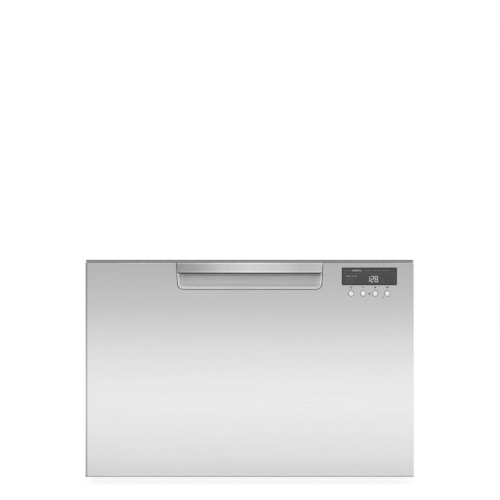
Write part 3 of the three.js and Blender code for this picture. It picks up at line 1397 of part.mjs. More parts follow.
function mainsGland() {
  const [x, z] = [GLAND_X, SERVICE_Z];
  const nutIn = rod([x, FIT_BACK - 7, z], [x, FIT_BACK, z], 13, 6);
  const nutOut = rod([x, CHASSIS_BACK + SEAT, z], [x, CHASSIS_BACK + 8, z], 13, 6);
  const stem = rod([x, FIT_BACK - 12, z], [x, CHASSIS_BACK + 12, z], 8, 12);
  const bore = rod([x, FIT_BACK - 13, z], [x, CHASSIS_BACK + 13, z], 4.5, 8);
  return cut(fuse(nutIn, nutOut, stem), bore);
}

function floodSwitch() {
  const base = prism('xy', roundedRect(-20, 20, -15, 15, 4, 2), 0, 6);
  const float = revolve(
    [
      [0, 5],
      [13, 5],
      [13, 18],
      [10, 22],
      [0, 22],
    ],
    16,
  );
  return fuse(base, float);
}

/** Route of the hose between the drain outlet and the tub: it lies in waves on the pan. */
function hoseRoute() {
  const [endX, endY] = DRAIN_NOZZLE;
  const start = FIT_BACK - 32.7 - SEAT;
  const [first, last] = [start - 62, endY + 30];
  const points = [
    [DRAIN_X, start, SERVICE_Z],
    [DRAIN_X, start - 14, SERVICE_Z],
    [DRAIN_X, start - 36, (SERVICE_Z + HOSE_LOW) / 2],
  ];
  const waves = Math.round(HOSE_TURNS * 8);
  for (let i = 0; i <= waves; i += 1) {
    const share = i / waves;
    const swing = HOSE_SWING * Math.sin(2 * Math.PI * HOSE_TURNS * share);
    points.push([DRAIN_X + swing, first + (last - first) * share, HOSE_LOW]);
  }
  points.push([endX, endY + 6, HOSE_LOW + 10], [endX, endY, HOSE_LOW + 26]);
  points.push([endX, endY, SUMP_BOTTOM]);
  return new THREE.CatmullRomCurve3(points.map((p) => new THREE.Vector3(...p)), false, 'centripetal');
}

function hoseLink() {
  const section = new THREE.Shape(
    arc(0, 0, HOSE_RADIUS, 0, 360 - 360 / 8, 7).map(([u, v]) => new THREE.Vector2(u, v)),
  );
  const settings = { steps: HOSE_STEPS, extrudePath: hoseRoute() };
  return solidOf(new THREE.ExtrudeGeometry(section, settings));
}

piece(chassis, 'base_pan', basePan(), GALVANISED);
pair(chassis, 'side_panel', sidePanel(), GALVANISED);
piece(chassis, 'rear_panel', rearPanel(), GALVANISED);
const braceFront = topBrace(CHASSIS_FRONT, CHASSIS_FRONT + BRACE_DEPTH);
piece(chassis, 'front_top_brace', braceFront, GALVANISED);
piece(chassis, 'rear_top_brace', topBrace(FIT_BACK - BRACE_DEPTH, FIT_BACK), GALVANISED);
const outerRunner = lippedRunner(OUTER_BACK, OUTER_OPEN, RUNNER_HALF, RUNNER_LIP);
pair(chassis, 'outer_runner', outerRunner, GALVANISED);
pair(chassis, 'side_trim', sideTrim(), RUBBER);
['front_left_foot', 'rear_left_foot', 'front_right_foot', 'rear_right_foot'].forEach((name, i) => {
  piece(chassis, name, foot(), BLACK_PLASTIC, [...footPlaces[i], 0]);
});
piece(chassis, 'inlet_valve', inletValve(), WHITE_PLASTIC);
piece(chassis, 'drain_outlet', drainOutlet(), GREY_PLASTIC);
piece(chassis, 'mains_gland', mainsGland(), BLACK_PLASTIC);
piece(chassis, 'flood_switch', floodSwitch(), WHITE_PLASTIC, [150, 200, PAN_TOP + SEAT]);
piece(chassis, 'hose_link', hoseLink(), DARK_PLASTIC);

const dishwasherDrawer = new THREE.Group();
dishwasherDrawer.add(chassis, drawer, lidGroup);

export default dishwasherDrawer;
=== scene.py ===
# %% [markdown]
# # Dressing a dishwasher drawer
# The drawer's true sizes and its moving parts are already packed as a fixed frame. The first cell
# loads that frame, and every later cell adds looks to it: finishes, fine edges, wires, marks and
# light. Nothing here moves or resizes a part, so each new piece is placed by measuring the frame.

# %% Load the frame
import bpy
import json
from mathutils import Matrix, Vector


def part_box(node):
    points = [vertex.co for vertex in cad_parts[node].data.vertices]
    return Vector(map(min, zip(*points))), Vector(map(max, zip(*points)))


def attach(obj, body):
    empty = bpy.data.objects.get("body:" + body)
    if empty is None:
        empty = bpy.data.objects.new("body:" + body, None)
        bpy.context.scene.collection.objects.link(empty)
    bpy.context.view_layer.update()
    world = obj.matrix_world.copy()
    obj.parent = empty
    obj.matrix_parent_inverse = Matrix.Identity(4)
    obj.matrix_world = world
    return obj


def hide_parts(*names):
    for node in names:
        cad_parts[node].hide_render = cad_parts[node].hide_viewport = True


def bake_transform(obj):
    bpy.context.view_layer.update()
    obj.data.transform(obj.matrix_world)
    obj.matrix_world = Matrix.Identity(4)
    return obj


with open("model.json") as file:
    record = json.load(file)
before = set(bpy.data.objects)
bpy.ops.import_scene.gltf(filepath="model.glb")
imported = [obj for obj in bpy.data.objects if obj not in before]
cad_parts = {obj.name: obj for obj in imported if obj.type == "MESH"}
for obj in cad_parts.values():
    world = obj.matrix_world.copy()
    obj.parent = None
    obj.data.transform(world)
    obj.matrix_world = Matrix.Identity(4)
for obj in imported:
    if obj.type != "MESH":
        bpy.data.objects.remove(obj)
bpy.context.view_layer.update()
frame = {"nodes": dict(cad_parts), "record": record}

import json
import math

import bmesh
import bpy
from mathutils import Matrix, Vector
from mathutils.geometry import tessellate_polygon

scene = bpy.context.scene
nodes = frame["nodes"]
record = frame["record"]
slot_of = {row["node"]: row["material_slot"] for row in record["subparts"]}
body_of = {name: body for body, names in record["behaviour"]["bodies"].items() for name in names}

# %% [markdown]
# ## Camera
# The drawer was photographed straight on, with the lens a little above its top edge and level. A
# level camera keeps the panel's edges upright, and a long lens keeps them from spreading, so the
# camera only has to stand at the right height and distance. It comes first, because each later
# choice is judged through it.

# %% Stand the camera in front of the panel
LENS = 79  # focal length in millimetres
CAMERA_AT = (0.0007, -2.285, 0.428)
camera = bpy.data.objects.new("camera", bpy.data.cameras.new("camera"))
scene.collection.objects.link(camera)
scene.camera = camera
camera.data.lens = LENS
camera.location = CAMERA_AT
camera.rotation_euler = (math.pi / 2, 0, 0)  # level, looking along +Y
print("camera at", tuple(round(value, 3) for value in camera.location))

# %% [markdown]
# ## White room
# A product photograph often has a pure white ground. Turning the lamps up would do that and burn
# the steel out with it. Here the world is full white only where the lens, or a mirror-like
# surface, looks at it, and a plain studio level where it lights the drawer. The Light Path node
# tells the two apart.

# %% Make the world
SKY_LIGHT = 0.72


def looked_at(tree):
    """1 for rays from the lens, from a glossy surface or through glass, and 0 for other light."""
    path = tree.nodes.new("ShaderNodeLightPath")
    seen = path.outputs["Is Camera Ray"]
    for ray in ("Is Glossy Ray", "Is Transmission Ray"):
        either = tree.nodes.new("ShaderNodeMath")
        either.operation = "MAXIMUM"
        tree.links.new(seen, either.inputs[0])
        tree.links.new(path.outputs[ray], either.inputs[1])
        seen = either.outputs[0]
    return seen


world = bpy.data.worlds.new("white_room")
world.use_nodes = True
scene.world = world
scene.view_settings.view_transform = "Standard"
background = world.node_tree.nodes["Background"]
background.inputs["Color"].default_value = (1, 1, 1, 1)
level = world.node_tree.nodes.new("ShaderNodeMapRange")
level.inputs["To Min"].default_value = SKY_LIGHT
level.inputs["To Max"].default_value = 1
world.node_tree.links.new(looked_at(world.node_tree), level.inputs["Value"])
world.node_tree.links.new(level.outputs["Result"], background.inputs["Strength"])
print("world lights the drawer at", SKY_LIGHT)

# %% [markdown]
# ## Floor
# The floor has to be white where nothing stands on it and still hold the drawer's shadow. A floor
# that only glows would hold none. This one glows most of the way to white for the lens and takes
# the last part from real light, so a shadow takes just that part away. For light that bounces
# back to the drawer it is a plain pale floor.

# %% Lay the floor
FLOOR_HALF = 15
FLOOR_GLOW = 0.88
FLOOR_PALE = (0.17, 0.17, 0.17, 1)
FLOOR_BOUNCE = (0.8, 0.8, 0.8, 1)

floor_mesh = bpy.data.meshes.new("floor")
corners = [(x * FLOOR_HALF, y * FLOOR_HALF, 0) for x, y in ((-1, -1), (1, -1), (1, 1), (-1, 1))]
floor_mesh.from_pydata(corners, [], [(0, 1, 2, 3)])
floor = bpy.data.objects.new("floor", floor_mesh)
scene.collection.objects.link(floor)

floor_paint = bpy.data.materials.new("floor_paint")
floor_paint.use_nodes = True
tree = floor_paint.node_tree
tree.nodes.remove(tree.nodes["Principled BSDF"])
glow, pale, bounce = (
    tree.nodes.new(f"ShaderNode{kind}") for kind in ("Emission", "BsdfDiffuse", "BsdfDiffuse")
)
glow.inputs["Strength"].default_value = FLOOR_GLOW
pale.inputs["Color"].default_value = FLOOR_PALE
bounce.inputs["Color"].default_value = FLOOR_BOUNCE
both, choice = tree.nodes.new("ShaderNodeAddShader"), tree.nodes.new("ShaderNodeMixShader")
tree.links.new(glow.outputs[0], both.inputs[0])
tree.links.new(pale.outputs[0], both.inputs[1])
tree.links.new(looked_at(tree), choice.inputs["Fac"])
tree.links.new(bounce.outputs[0], choice.inputs[1])
tree.links.new(both.outputs[0], choice.inputs[2])
tree.links.new(choice.outputs[0], tree.nodes["Material Output"].inputs["Surface"])
floor_mesh.materials.append(floor_paint)
print("floor is", 2 * FLOOR_HALF, "m wide")

# %% [markdown]
# ## Lamps
# Soft light from large panels shows form without hard shadows. A big lamp in front and above
# gives the plain level, a weaker one from the right fills, and one behind lifts the chassis in
# the views from the back. They stay weak, so a colour renders close to how it is written.

# %% Hang three soft lamps
AIM = Vector((0, 0, 0.2))  # the middle of the drawer


def soft_lamp(name, place, size, power):
    lamp = bpy.data.objects.new(name, bpy.data.lights.new(name, "AREA"))
    lamp.data.shape = "DISK"
    lamp.data.size = size
    lamp.data.energy = power
    lamp.location = place
    lamp.rotation_euler = (AIM - Vector(place)).to_track_quat("-Z", "Y").to_euler()
    scene.collection.objects.link(lamp)


soft_lamp("front_lamp", (-1.3, -2.6, 2.4), size=2.2, power=20)
soft_lamp("right_lamp", (2.4, -1.6, 1.5), size=1.8, power=9)
soft_lamp("back_lamp", (0.8, 2.6, 2.2), size=2.2, power=14)
print("three lamps")

# %% [markdown]
# ## Finishes
# Every finish starts from one Principled shader and then gets the detail of the real stuff: grain,
# speckle, a change of gloss, a fine bump. Wiring those nodes by hand for each material would hide
# what makes them differ, so a small class holds the node tree and names the steps.

# %% Helpers for finishes
def tone(red, green=None, blue=None):
    """A colour as a screen shows it, 0 to 255, in the light values that shaders use."""
    shown = (red, red if green is None else green, red if blue is None else blue)
    parts = [value / 255 for value in shown]
    return [p / 12.92 if p <= 0.04045 else ((p + 0.055) / 1.055) ** 2.4 for p in parts]


class Finish:
    """A material being built: its node tree, its shader and the steps that add detail."""

    def __init__(self, name, colour, roughness, metallic=0.0):
        self.material = bpy.data.materials.new(name)
        self.material.use_nodes = True
        self.tree = self.material.node_tree
        self.shader = self.tree.nodes["Principled BSDF"]
        self.set("Base Color", (*colour, 1))
        self.set("Roughness", roughness)
        self.set("Metallic", metallic)
        self.bumped = None

    def set(self, socket, value):
        self.feed(self.shader.inputs[socket], value)

    def feed(self, socket, value):
        if isinstance(value, bpy.types.NodeSocket):
            self.tree.links.new(value, socket)
        else:
            socket.default_value = value

    def node(self, kind, inputs=None, **settings):
        made = self.tree.nodes.new(f"ShaderNode{kind}")
        for name, value in settings.items():
            setattr(made, name, value)
        for name, value in (inputs or {}).items():
            self.feed(made.inputs[name], value)
        return made

    def place(self, stretch=(1, 1, 1)):
        """Where a point is on the piece, in metres, so a pattern keeps its real size."""
        where = self.node("TexCoord").outputs["Object"]
        return self.node("Mapping", {"Vector": where, "Scale": stretch}).outputs[0]

    def noise(self, size, detail=2.0, stretch=(1, 1, 1)):
        inputs = {"Vector": self.place(stretch), "Scale": 1 / size, "Detail": detail}
        return self.node("TexNoise", inputs).outputs["Fac"]

    def spangle(self, size):
        """A flat grey level for each crystal of a zinc coat."""
        cells = self.node("TexVoronoi", {"Vector": self.place(), "Scale": 1 / size})
        split = self.node("SeparateColor", {"Color": cells.outputs["Color"]})
        return split.outputs["Red"]

    def ramp(self, level, stops):
        """Colours along a level that runs from 0 to 1."""
        made = self.node("ValToRGB", {"Fac": level})
        line = made.color_ramp.elements
        while len(line) < len(stops):
            line.new(0.5)
        for element, (share, colour) in zip(line, stops):
            element.position = share
            element.color = (*colour, 1)
        return made.outputs["Color"]

    def span(self, level, low, high, start=0.0, end=1.0):
        inputs = {"Value": level, "From Min": start, "From Max": end, "To Min": low, "To Max": high}
        return self.node("MapRange", inputs).outputs["Result"]

    def multiply(self, one, other, share=1):
        """One colour darkened by another, wholly or by a share."""
        mixed = self.node("Mix", data_type="RGBA", blend_type="MULTIPLY")
        self.feed(mixed.inputs[0], share)
        self.feed(mixed.inputs[6], one)
        self.feed(mixed.inputs[7], other)
        return mixed.outputs[2]

    def bump(self, height, depth, strength=1.0):
        """Raises the surface by a level, up to a real depth in metres."""
        inputs = {"Height": height, "Distance": depth, "Strength": strength}
        if self.bumped:
            inputs["Normal"] = self.bumped
        self.bumped = self.node("Bump", inputs).outputs["Normal"]
        self.set("Normal", self.bumped)


print("finish helpers ready")

# %% [markdown]
# ## Building pieces
# A new piece is a mesh made in the frame's own metres, so it lands where the imported part is. Each
# one rides on a body and may stand for the imported part it refines.
# Edges of no length are dissolved first, because they would leave faces without area.

# %% Helpers for pieces
MM = 0.001
NO_LENGTH = 0.0001 * MM
FLAT_WEIGHT = 80  # how much more a large face counts than a small one


def shade(mesh, sharp=38):
    """Smooth shading that stays crisp where faces meet at a real edge."""
    mesh.polygons.foreach_set("use_smooth", [True] * len(mesh.polygons))
    mesh.set_sharp_from_angle(angle=math.radians(sharp))


def show(name, mesh, body, slot, *finishes, stands_for=(), sharp=38):
    """Puts a mesh in the scene as a piece of the drawer."""
    if isinstance(mesh, bmesh.types.BMesh):
        shape, mesh = mesh, bpy.data.meshes.new(name)
        bmesh.ops.dissolve_degenerate(shape, dist=NO_LENGTH, edges=shape.edges)
        bmesh.ops.recalc_face_normals(shape, faces=shape.faces)
        shape.to_mesh(mesh)
        shape.free()
    mesh.materials.clear()
    for finish in finishes:
        mesh.materials.append(finish.material)
    shade(mesh, sharp)
    made = bpy.data.objects.new(name, mesh)
    scene.collection.objects.link(made)
    if body:
        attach(made, body)
    if stands_for:
        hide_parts(*stands_for)
    return made


def level_normals(made):
    """Keeps wide flat faces flat beside narrow rounded edges."""
    settled = made.modifiers.new("level_normals", "WEIGHTED_NORMAL")
    settled.keep_sharp = True
    settled.weight = FLAT_WEIGHT
    return made


# %% [markdown]
# ## Rounded edges
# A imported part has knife-sharp edges, and nothing real has. Light runs along the small radius of a
# pressed, moulded or filed edge, and that thin line is what makes a shape look solid. A copy of
# the part gets its flat faces joined, then every sharp edge bevelled, and stands for the original.

# %% Helper for rounded edges
FLAT_ANGLE = math.radians(1)
EDGE_ANGLE = math.radians(32)
EDGE_STEPS = 2
SAME_SPOT = 0.001 * MM


def soften(shape, edge):
    """Joins flat faces and rounds the sharp edges between them."""
    bmesh.ops.remove_doubles(shape, verts=shape.verts, dist=SAME_SPOT)
    bmesh.ops.dissolve_limit(
        shape, angle_limit=FLAT_ANGLE, verts=shape.verts, edges=shape.edges, delimit={"NORMAL"}
    )
    sharp = [
        line
        for line in shape.edges
        if len(line.link_faces) == 2 and line.calc_face_angle() > EDGE_ANGLE
    ]
    bmesh.ops.bevel(
        shape,
        geom=sharp,
        offset=edge,
        segments=EDGE_STEPS,
        profile=0.5,  # a circular round
        affect="EDGES",
        clamp_overlap=True,
    )


def rounded(node, edge, finish):
    """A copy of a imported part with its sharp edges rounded."""
    shape = bmesh.new()
    shape.from_mesh(nodes[node].data)
    soften(shape, edge)
    made = show(f"{node}_edged", shape, body_of[node], slot_of[node], finish, stands_for=[node])
    return level_normals(made)


# %% [markdown]
# ## Brushed steel panel
# The panel is stainless sheet, brushed from side to side. Up close that is a mass of fine level
# scratches, and from a step away only a soft sheen. Noise stretched along X gives the scratches in
# colour, gloss and bump. The panel's tone also drifts down its height, darkest at the top, palest
# a third of the way up and a little darker at the foot: a painted reflection of the room in front
# of the sheet. Its left and lower folds are painted dark as painted shade. Ramps over the panel's
# own height and width hold this painted light, so it stays on the sheet when the drawer moves.

# %% Brushed finish
GRAIN = (0.012, 1, 1)  # squeezes a pattern's coordinates along X, which draws it out sideways
SCRATCH = 0.35 * MM
BAND = 4 * MM
SCRATCH_DEPTH = 0.02 * MM
panel_low, panel_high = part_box("front_skin")
# Painted reflection of the room down the panel, with painted shade on the lower fold.
PANEL_REFLECTION_AND_SHADE = [  # share of the height from the foot, and the tone there
    (0.0, 132),
    (0.0032, 132),
    (0.0046, 216),
    (0.1, 227),
    (0.22, 235),
    (0.33, 239),
    (0.44, 237),
    (0.6, 225),
    (0.8, 201),
    (1.0, 184),
]
# Painted shade on the left fold.
LEFT_FOLD_SHADE = [(0.0, [0.95] * 3), (0.002, [0.36] * 3), (0.0038, [0.36] * 3), (0.0044, [1, 1, 1])]


def along(finish, axis, low, high):
    """0 to 1 between two places along an axis of the piece."""
    parts = finish.node("SeparateXYZ", {"Vector": finish.place()})
    return finish.span(parts.outputs[axis], 0, 1, low, high)


def brush(finish, colour, scratches=0.07, roughness=(0.26, 0.4)):
    """Level scratches in colour, gloss and bump."""
    fine = finish.noise(SCRATCH, 3, GRAIN)
    wide = finish.noise(BAND, 2, GRAIN)
    light = finish.ramp(fine, [(0.3, [1 - scratches] * 3), (0.7, [1, 1, 1])])
    bands = finish.ramp(wide, [(0.3, [0.985] * 3), (0.7, [1, 1, 1])])
    finish.set("Base Color", finish.multiply(finish.multiply(colour, light), bands))
    finish.set("Roughness", finish.span(fine, *roughness, 0.3, 0.7))
    finish.bump(fine, SCRATCH_DEPTH, 0.5)
    return finish


panel_steel = Finish("panel_steel", tone(225), 0.34, 1.0)
height = along(panel_steel, "Z", panel_low.z, panel_high.z)
panel_reflection_paint = panel_steel.ramp(height, [(share, tone(level)) for share, level in PANEL_REFLECTION_AND_SHADE])
width = along(panel_steel, "X", panel_low.x, panel_high.x)
brush(panel_steel, panel_steel.multiply(panel_reflection_paint, panel_steel.ramp(width, LEFT_FOLD_SHADE)))
print("panel from z", round(panel_low.z, 4), "to", round(panel_high.z, 4))

# %% [markdown]
# ## Panel sheet
# The panel is one folded sheet. Its outer edges turn back on a small radius, while the finger
# notch, the display window and the four key holes are cut, with only a filed edge. Each outline is
# drawn at a margin from its true line, so the same function gives every step of a rounded edge.
# The front face is then filled between the innermost outlines by tessellation, which handles holes.

# %% Outlines on the panel
SHEET = 1 * MM
HALF_WIDTH = panel_high.x
PANEL_BOTTOM, PANEL_TOP = panel_low.z, panel_high.z
PANEL_FACE, SKIN_BACK = panel_low.y, panel_high.y
pocket_low, pocket_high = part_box("handle_pocket")
POCKET_GAP = 0.5 * MM
NOTCH_BOTTOM = pocket_low.z - POCKET_GAP
NOTCH_HALF_TOP = 134 * MM
NOTCH_HALF_BOTTOM = 131 * MM
NOTCH_SLOPE = (NOTCH_HALF_TOP - NOTCH_HALF_BOTTOM) / (PANEL_TOP - NOTCH_BOTTOM)
NOTCH_CORNER = 10 * MM
LEAST_CORNER = 2 * MM
NOTCH_STEPS = 8
NOTCH_RELIEF = 0.6 * MM  # the cut in the steel is this much wider than the pocket's seat
window_low, window_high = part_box("display_lens")
WINDOW_CORNER = 1.2 * MM
WINDOW_GAP = 0.4 * MM
CORNER_STEPS = 6
KEYS = ["power_button", "programme_button", "option_button", "start_button"]
KEY_HOLE = 5.35 * MM


def middle_of(node):
    low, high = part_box(node)
    return (low + high) / 2


def arc(cx, cy, radius, start, end, steps):
    """Points along an arc, angles in degrees."""
    turns = [math.radians(start + (end - start) * i / steps) for i in range(steps + 1)]
    return [(cx + radius * math.cos(t), cy + radius * math.sin(t)) for t in turns]


def circle(cx, cy, radius, sides=24):
    return arc(cx, cy, radius, 0, 360 - 360 / sides, sides - 1)


def round_box(x0, x1, z0, z1, radius):
    """A rectangle with round corners, anticlockwise."""
    return [
        *arc(x1 - radius, z0 + radius, radius, -90, 0, CORNER_STEPS),
        *arc(x1 - radius, z1 - radius, radius, 0, 90, CORNER_STEPS),
        *arc(x0 + radius, z1 - radius, radius, 90, 180, CORNER_STEPS),
        *arc(x0 + radius, z0 + radius, radius, 180, 270, CORNER_STEPS),
    ]


def wall_at(z):
    """Half the notch's width at a height."""
    return NOTCH_HALF_BOTTOM + NOTCH_SLOPE * (z - NOTCH_BOTTOM)


def notch_line(inset, top, bottom=None):
    """The finger notch from its upper left end, round its two lower corners, to its upper right."""
    bottom = NOTCH_BOTTOM + inset if bottom is None else bottom
    half = [wall_at(z) - inset for z in (bottom, top)]
    corner = max(NOTCH_CORNER - inset, LEAST_CORNER)
    lean = math.atan(NOTCH_SLOPE)
    reach = corner * (1 - math.sin(lean)) / math.cos(lean)
    right = arc(half[0] - reach, bottom + corner, corner, -90, -math.degrees(lean), NOTCH_STEPS)
    left = [(-x, z) for x, z in reversed(right)]
    return [(-half[1], top), *left, *right, (half[1], top)]


print("notch floor at z", round(NOTCH_BOTTOM, 4))

# %% [markdown]
# Each step of a rounded edge is one ring. The folds turn through a quarter of a circle on a wide
# radius, and the cuts on a small one. After them come the rings of the sheet's rear side.

# %% Build the panel sheet
FOLD_RADIUS = 1.6 * MM
CUT_RADIUS = 0.3 * MM
FOLD_STEPS = 5


def sheet_rings():
    """Closed rings for the outer line, the window and the key holes, from the face to the back."""
    rings = {"outer": [], "window": [], **{key: [] for key in KEYS}}
    layers = [(math.pi / 2 * i / FOLD_STEPS, None) for i in range(FOLD_STEPS + 1)]
    layers += [(math.pi / 2, "rear"), (math.pi / 2, "inner_rear"), (math.pi / 2, "inner")]
    for turn, stage in layers:
        fold = FOLD_RADIUS * (1 - math.sin(turn))
        cut = CUT_RADIUS * (1 - math.sin(turn))
        fold_y = PANEL_FACE + FOLD_RADIUS * (1 - math.cos(turn))
        cut_y = PANEL_FACE + CUT_RADIUS * (1 - math.cos(turn))
        if stage:
            fold = 0 if stage == "rear" else SHEET
            fold_y = PANEL_FACE + SHEET if stage == "inner" else SKIN_BACK
            cut_y = PANEL_FACE + SHEET
        x, low, high = HALF_WIDTH - fold, PANEL_BOTTOM + fold, PANEL_TOP - fold
        edge = [(-x, fold_y, low), (x, fold_y, low), (x, fold_y, high)]
        notch = notch_line(-NOTCH_RELIEF - cut, PANEL_TOP - (0 if stage == "rear" else fold))
        notch_edge = [(px, cut_y, pz) for px, pz in reversed(notch)]
        last, first = notch_edge[0], notch_edge[-1]
        ends = [(last[0], fold_y, high), (first[0], fold_y, high)]
        rings["outer"].append([*edge, ends[0], *notch_edge, ends[1], (-x, fold_y, high)])
        window = round_box(
            window_low.x - WINDOW_GAP - cut,
            window_high.x + WINDOW_GAP + cut,
            window_low.z - WINDOW_GAP - cut,
            window_high.z + WINDOW_GAP + cut,
            WINDOW_CORNER,
        )
        rings["window"].append([(px, cut_y, pz) for px, pz in window])
        for key in KEYS:
            centre = middle_of(key)
            hole = circle(centre.x, centre.z, KEY_HOLE + cut, 48)
            rings[key].append([(px, cut_y, pz) for px, pz in hole])
    return rings


def panel_sheet():
    shape = bmesh.new()
    faces, backs = [], []
    for rings in sheet_rings().values():
        rows = [[shape.verts.new(point) for point in ring] for ring in rings]
        for row, following in zip(rows, rows[1:]):
            for i, vert in enumerate(row):
                after = (i + 1) % len(row)
                shape.faces.new((vert, row[after], following[after], following[i]))
        faces.append(rows[0])
        backs.append(rows[-1])
    for loops in (faces, backs):
        verts = [vert for loop in loops for vert in loop]
        flat = [[Vector((vert.co.x, vert.co.z, 0)) for vert in loop] for loop in loops]
        for a, b, c in tessellate_polygon(flat):
            shape.faces.new((verts[a], verts[b], verts[c]))
    bmesh.ops.remove_doubles(shape, verts=shape.verts, dist=NO_LENGTH)
    return shape


skin = show(
    "panel_sheet",
    panel_sheet(),
    body_of["front_skin"],
    "brushed_panel",
    panel_steel,
    stands_for=["front_skin"],
)
level_normals(skin)
print("panel sheet has", len(skin.data.polygons), "faces")

# %% [markdown]
# ## Lofted forms
# The bar and the pocket are both drawn by moving an outline and changing it on the way. A loft
# joins each ring to the next, so a list of rings is all the shape there is to write.

# %% Helper for lofts
def loft(shape, rings, caps=(True, True), paint=None):
    """Skins closed rings of equal length; paint gives a band of faces its material number."""
    rows = [[shape.verts.new(point) for point in ring] for ring in rings]
    for band, (row, following) in enumerate(zip(rows, rows[1:])):
        for i, vert in enumerate(row):
            after = (i + 1) % len(row)
            face = shape.faces.new((vert, row[after], following[after], following[i]))
            face.material_index = (paint or {}).get(band, 0)
    for wanted, row in zip(caps, (rows[0], rows[-1])):
        if wanted:
            shape.faces.new(row)


print("loft helper ready")

# %% [markdown]
# ## Handle bar
# The bar is a steel section set across the notch, bowed a little towards the hand. Its front edges
# are rounded and its lower edge is chamfered, so fingers find it. The section stays the same and
# only moves forward with the bow, so it is lofted from end to end in many short steps. Its steel
# is painted darker towards the left end and bright in the middle, a painted reflection of the
# bow, with a painted highlight along its top edge and another above the chamfer, and painted shade
# on the chamfer; one ramp across and one up the bar give these.

# %% Build the handle bar
BAR_STEPS = 56
BAR_END_GAP = 0.6 * MM
BAR_TOP_RADIUS = 1.3 * MM
BAR_CHAMFER = (1.1 * MM, 3.2 * MM)
bar_low, bar_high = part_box("handle_bar")
BAR_THICKNESS = 6 * MM
BAR_BOW = PANEL_FACE - bar_low.y
BAR_END_ROUND = 0.4 * MM


def bar_section(face, swell=0.0):
    """Points (y, z) round the bar, pulled in from every side by swell."""
    back, low, high = face + BAR_THICKNESS - swell, bar_low.z + swell, bar_high.z - swell
    front, r = face + swell, BAR_TOP_RADIUS
    depth, rise = BAR_CHAMFER
    top = [(front + r - r * math.sin(t), high - r + r * math.cos(t)) for t in (0, 0.4, 0.8, 1.2)]
    return [
        (back, low),
        (back, high),
        *top,
        (front, high - r - 0.6 * MM),
        (front, low + rise + 0.5 * MM),
        (front + 0.25 * depth, low + rise * 0.72),
        (front + depth, low + 0.4 * MM),
        (front + depth + 0.5 * MM, low),
    ]


def handle_bar():
    rings = []
    shares = [-1 + 2 * i / BAR_STEPS for i in range(BAR_STEPS + 1)]
    for i, share in enumerate([shares[0], *shares, shares[-1]]):
        end = i in (0, len(shares) + 1)
        face = PANEL_FACE - BAR_BOW * (1 - share**2)
        ring = bar_section(face, BAR_END_ROUND if end else 0)
        reach = 1 - (0 if end else BAR_END_ROUND / wall_at(bar_high.z)) * (abs(share) == 1)
        rings.append([(share * reach * (wall_at(z) - BAR_END_GAP), y, z) for y, z in ring])
    shape = bmesh.new()
    loft(shape, rings)
    return shape


# Painted reflection along the bowed bar.
BAR_REFLECTION = [  # dark at the left end, brightest in the middle, half dark at the right end
    (0.0, 170),
    (0.14, 188),
    (0.31, 221),
    (0.5, 237),
    (0.7, 229),
    (0.85, 211),
    (1.0, 215),
]
# Painted shade on the chamfer, and painted highlights above it and along the top edge.
BAR_HIGHLIGHT_AND_SHADE = [  # from the chamfer up to the top edge
    (0.0, [0.7] * 3),
    (0.085, [0.75] * 3),
    (0.11, [0.97] * 3),
    (0.185, [0.97] * 3),
    (0.21, [0.79] * 3),
    (0.88, [0.79] * 3),
    (0.93, [1, 1, 1]),
    (1.0, [1, 1, 1]),
]
bar_steel = Finish("bar_steel", tone(208), 0.3, 1.0)
across = along(bar_steel, "X", bar_low.x, bar_high.x)
bar_light_paint = bar_steel.ramp(across, [(share, tone(level)) for share, level in BAR_REFLECTION])
upright = along(bar_steel, "Z", bar_low.z, bar_high.z)
bar_light_paint = bar_steel.multiply(bar_light_paint, bar_steel.ramp(upright, BAR_HIGHLIGHT_AND_SHADE))
brush(bar_steel, bar_light_paint, scratches=0.05, roughness=(0.22, 0.34))
show(
    "bar",
    handle_bar(),
    body_of["handle_bar"],
    slot_of["handle_bar"],
    bar_steel,
    stands_for=["handle_bar"],
    sharp=50,
)
print("bar bows", round(BAR_BOW / MM, 2), "mm")

# %% [markdown]
# ## Finger pocket
# Behind the bar a moulded pocket fills the notch. Its floor climbs towards the back in a quarter
# of a curve, its ends draw in, and a narrow shadow gap runs round it next to the steel, a step
# painted near black as a painted shadow. Every ring is the notch's own outline, moved in, lifted
# and set back. Above the bar's lower edge the rings stay behind the bar, which leaves the seat
# that the bar lies in. A ramp up the pocket's height paints the shade: the bar's shadow just
# below it and the dim top, where little light reaches. A second ramp from end to end weakens that
# painted shade near the ends, where more light gets in.

# %% Build the finger pocket
POCKET_LIP = 2.6 * MM
SHADOW_GAP = (0.4 * MM, 1.6 * MM)
POCKET_WALL = 2.5 * MM
POCKET_SCOOP = 23 * MM
POCKET_DRAW = 9 * MM
POCKET_STEPS = 16
SEAT = 0.3 * MM
seat_z, seat_y = bar_low.z - SEAT, PANEL_FACE + BAR_THICKNESS + SEAT


def pocket_ring(inset, y, top, bottom=None):
    line = notch_line(inset, top, bottom)
    split = [(line[1], line[0]), (line[-2], line[-1])]
    ring = []
    for low, high in split:
        share = (seat_z - low[1]) / (high[1] - low[1])
        x = low[0] + (high[0] - low[0]) * share
        ring.append([(x, y, seat_z), (x, max(y, seat_y), seat_z + 0.01 * MM)])
    corners = [(px, y, pz) for px, pz in line[1:-1]]
    start = (line[0][0], max(y, seat_y), line[0][1])
    end = (line[-1][0], max(y, seat_y), line[-1][1])
    return [start, ring[0][1], ring[0][0], *corners, *ring[1], end]


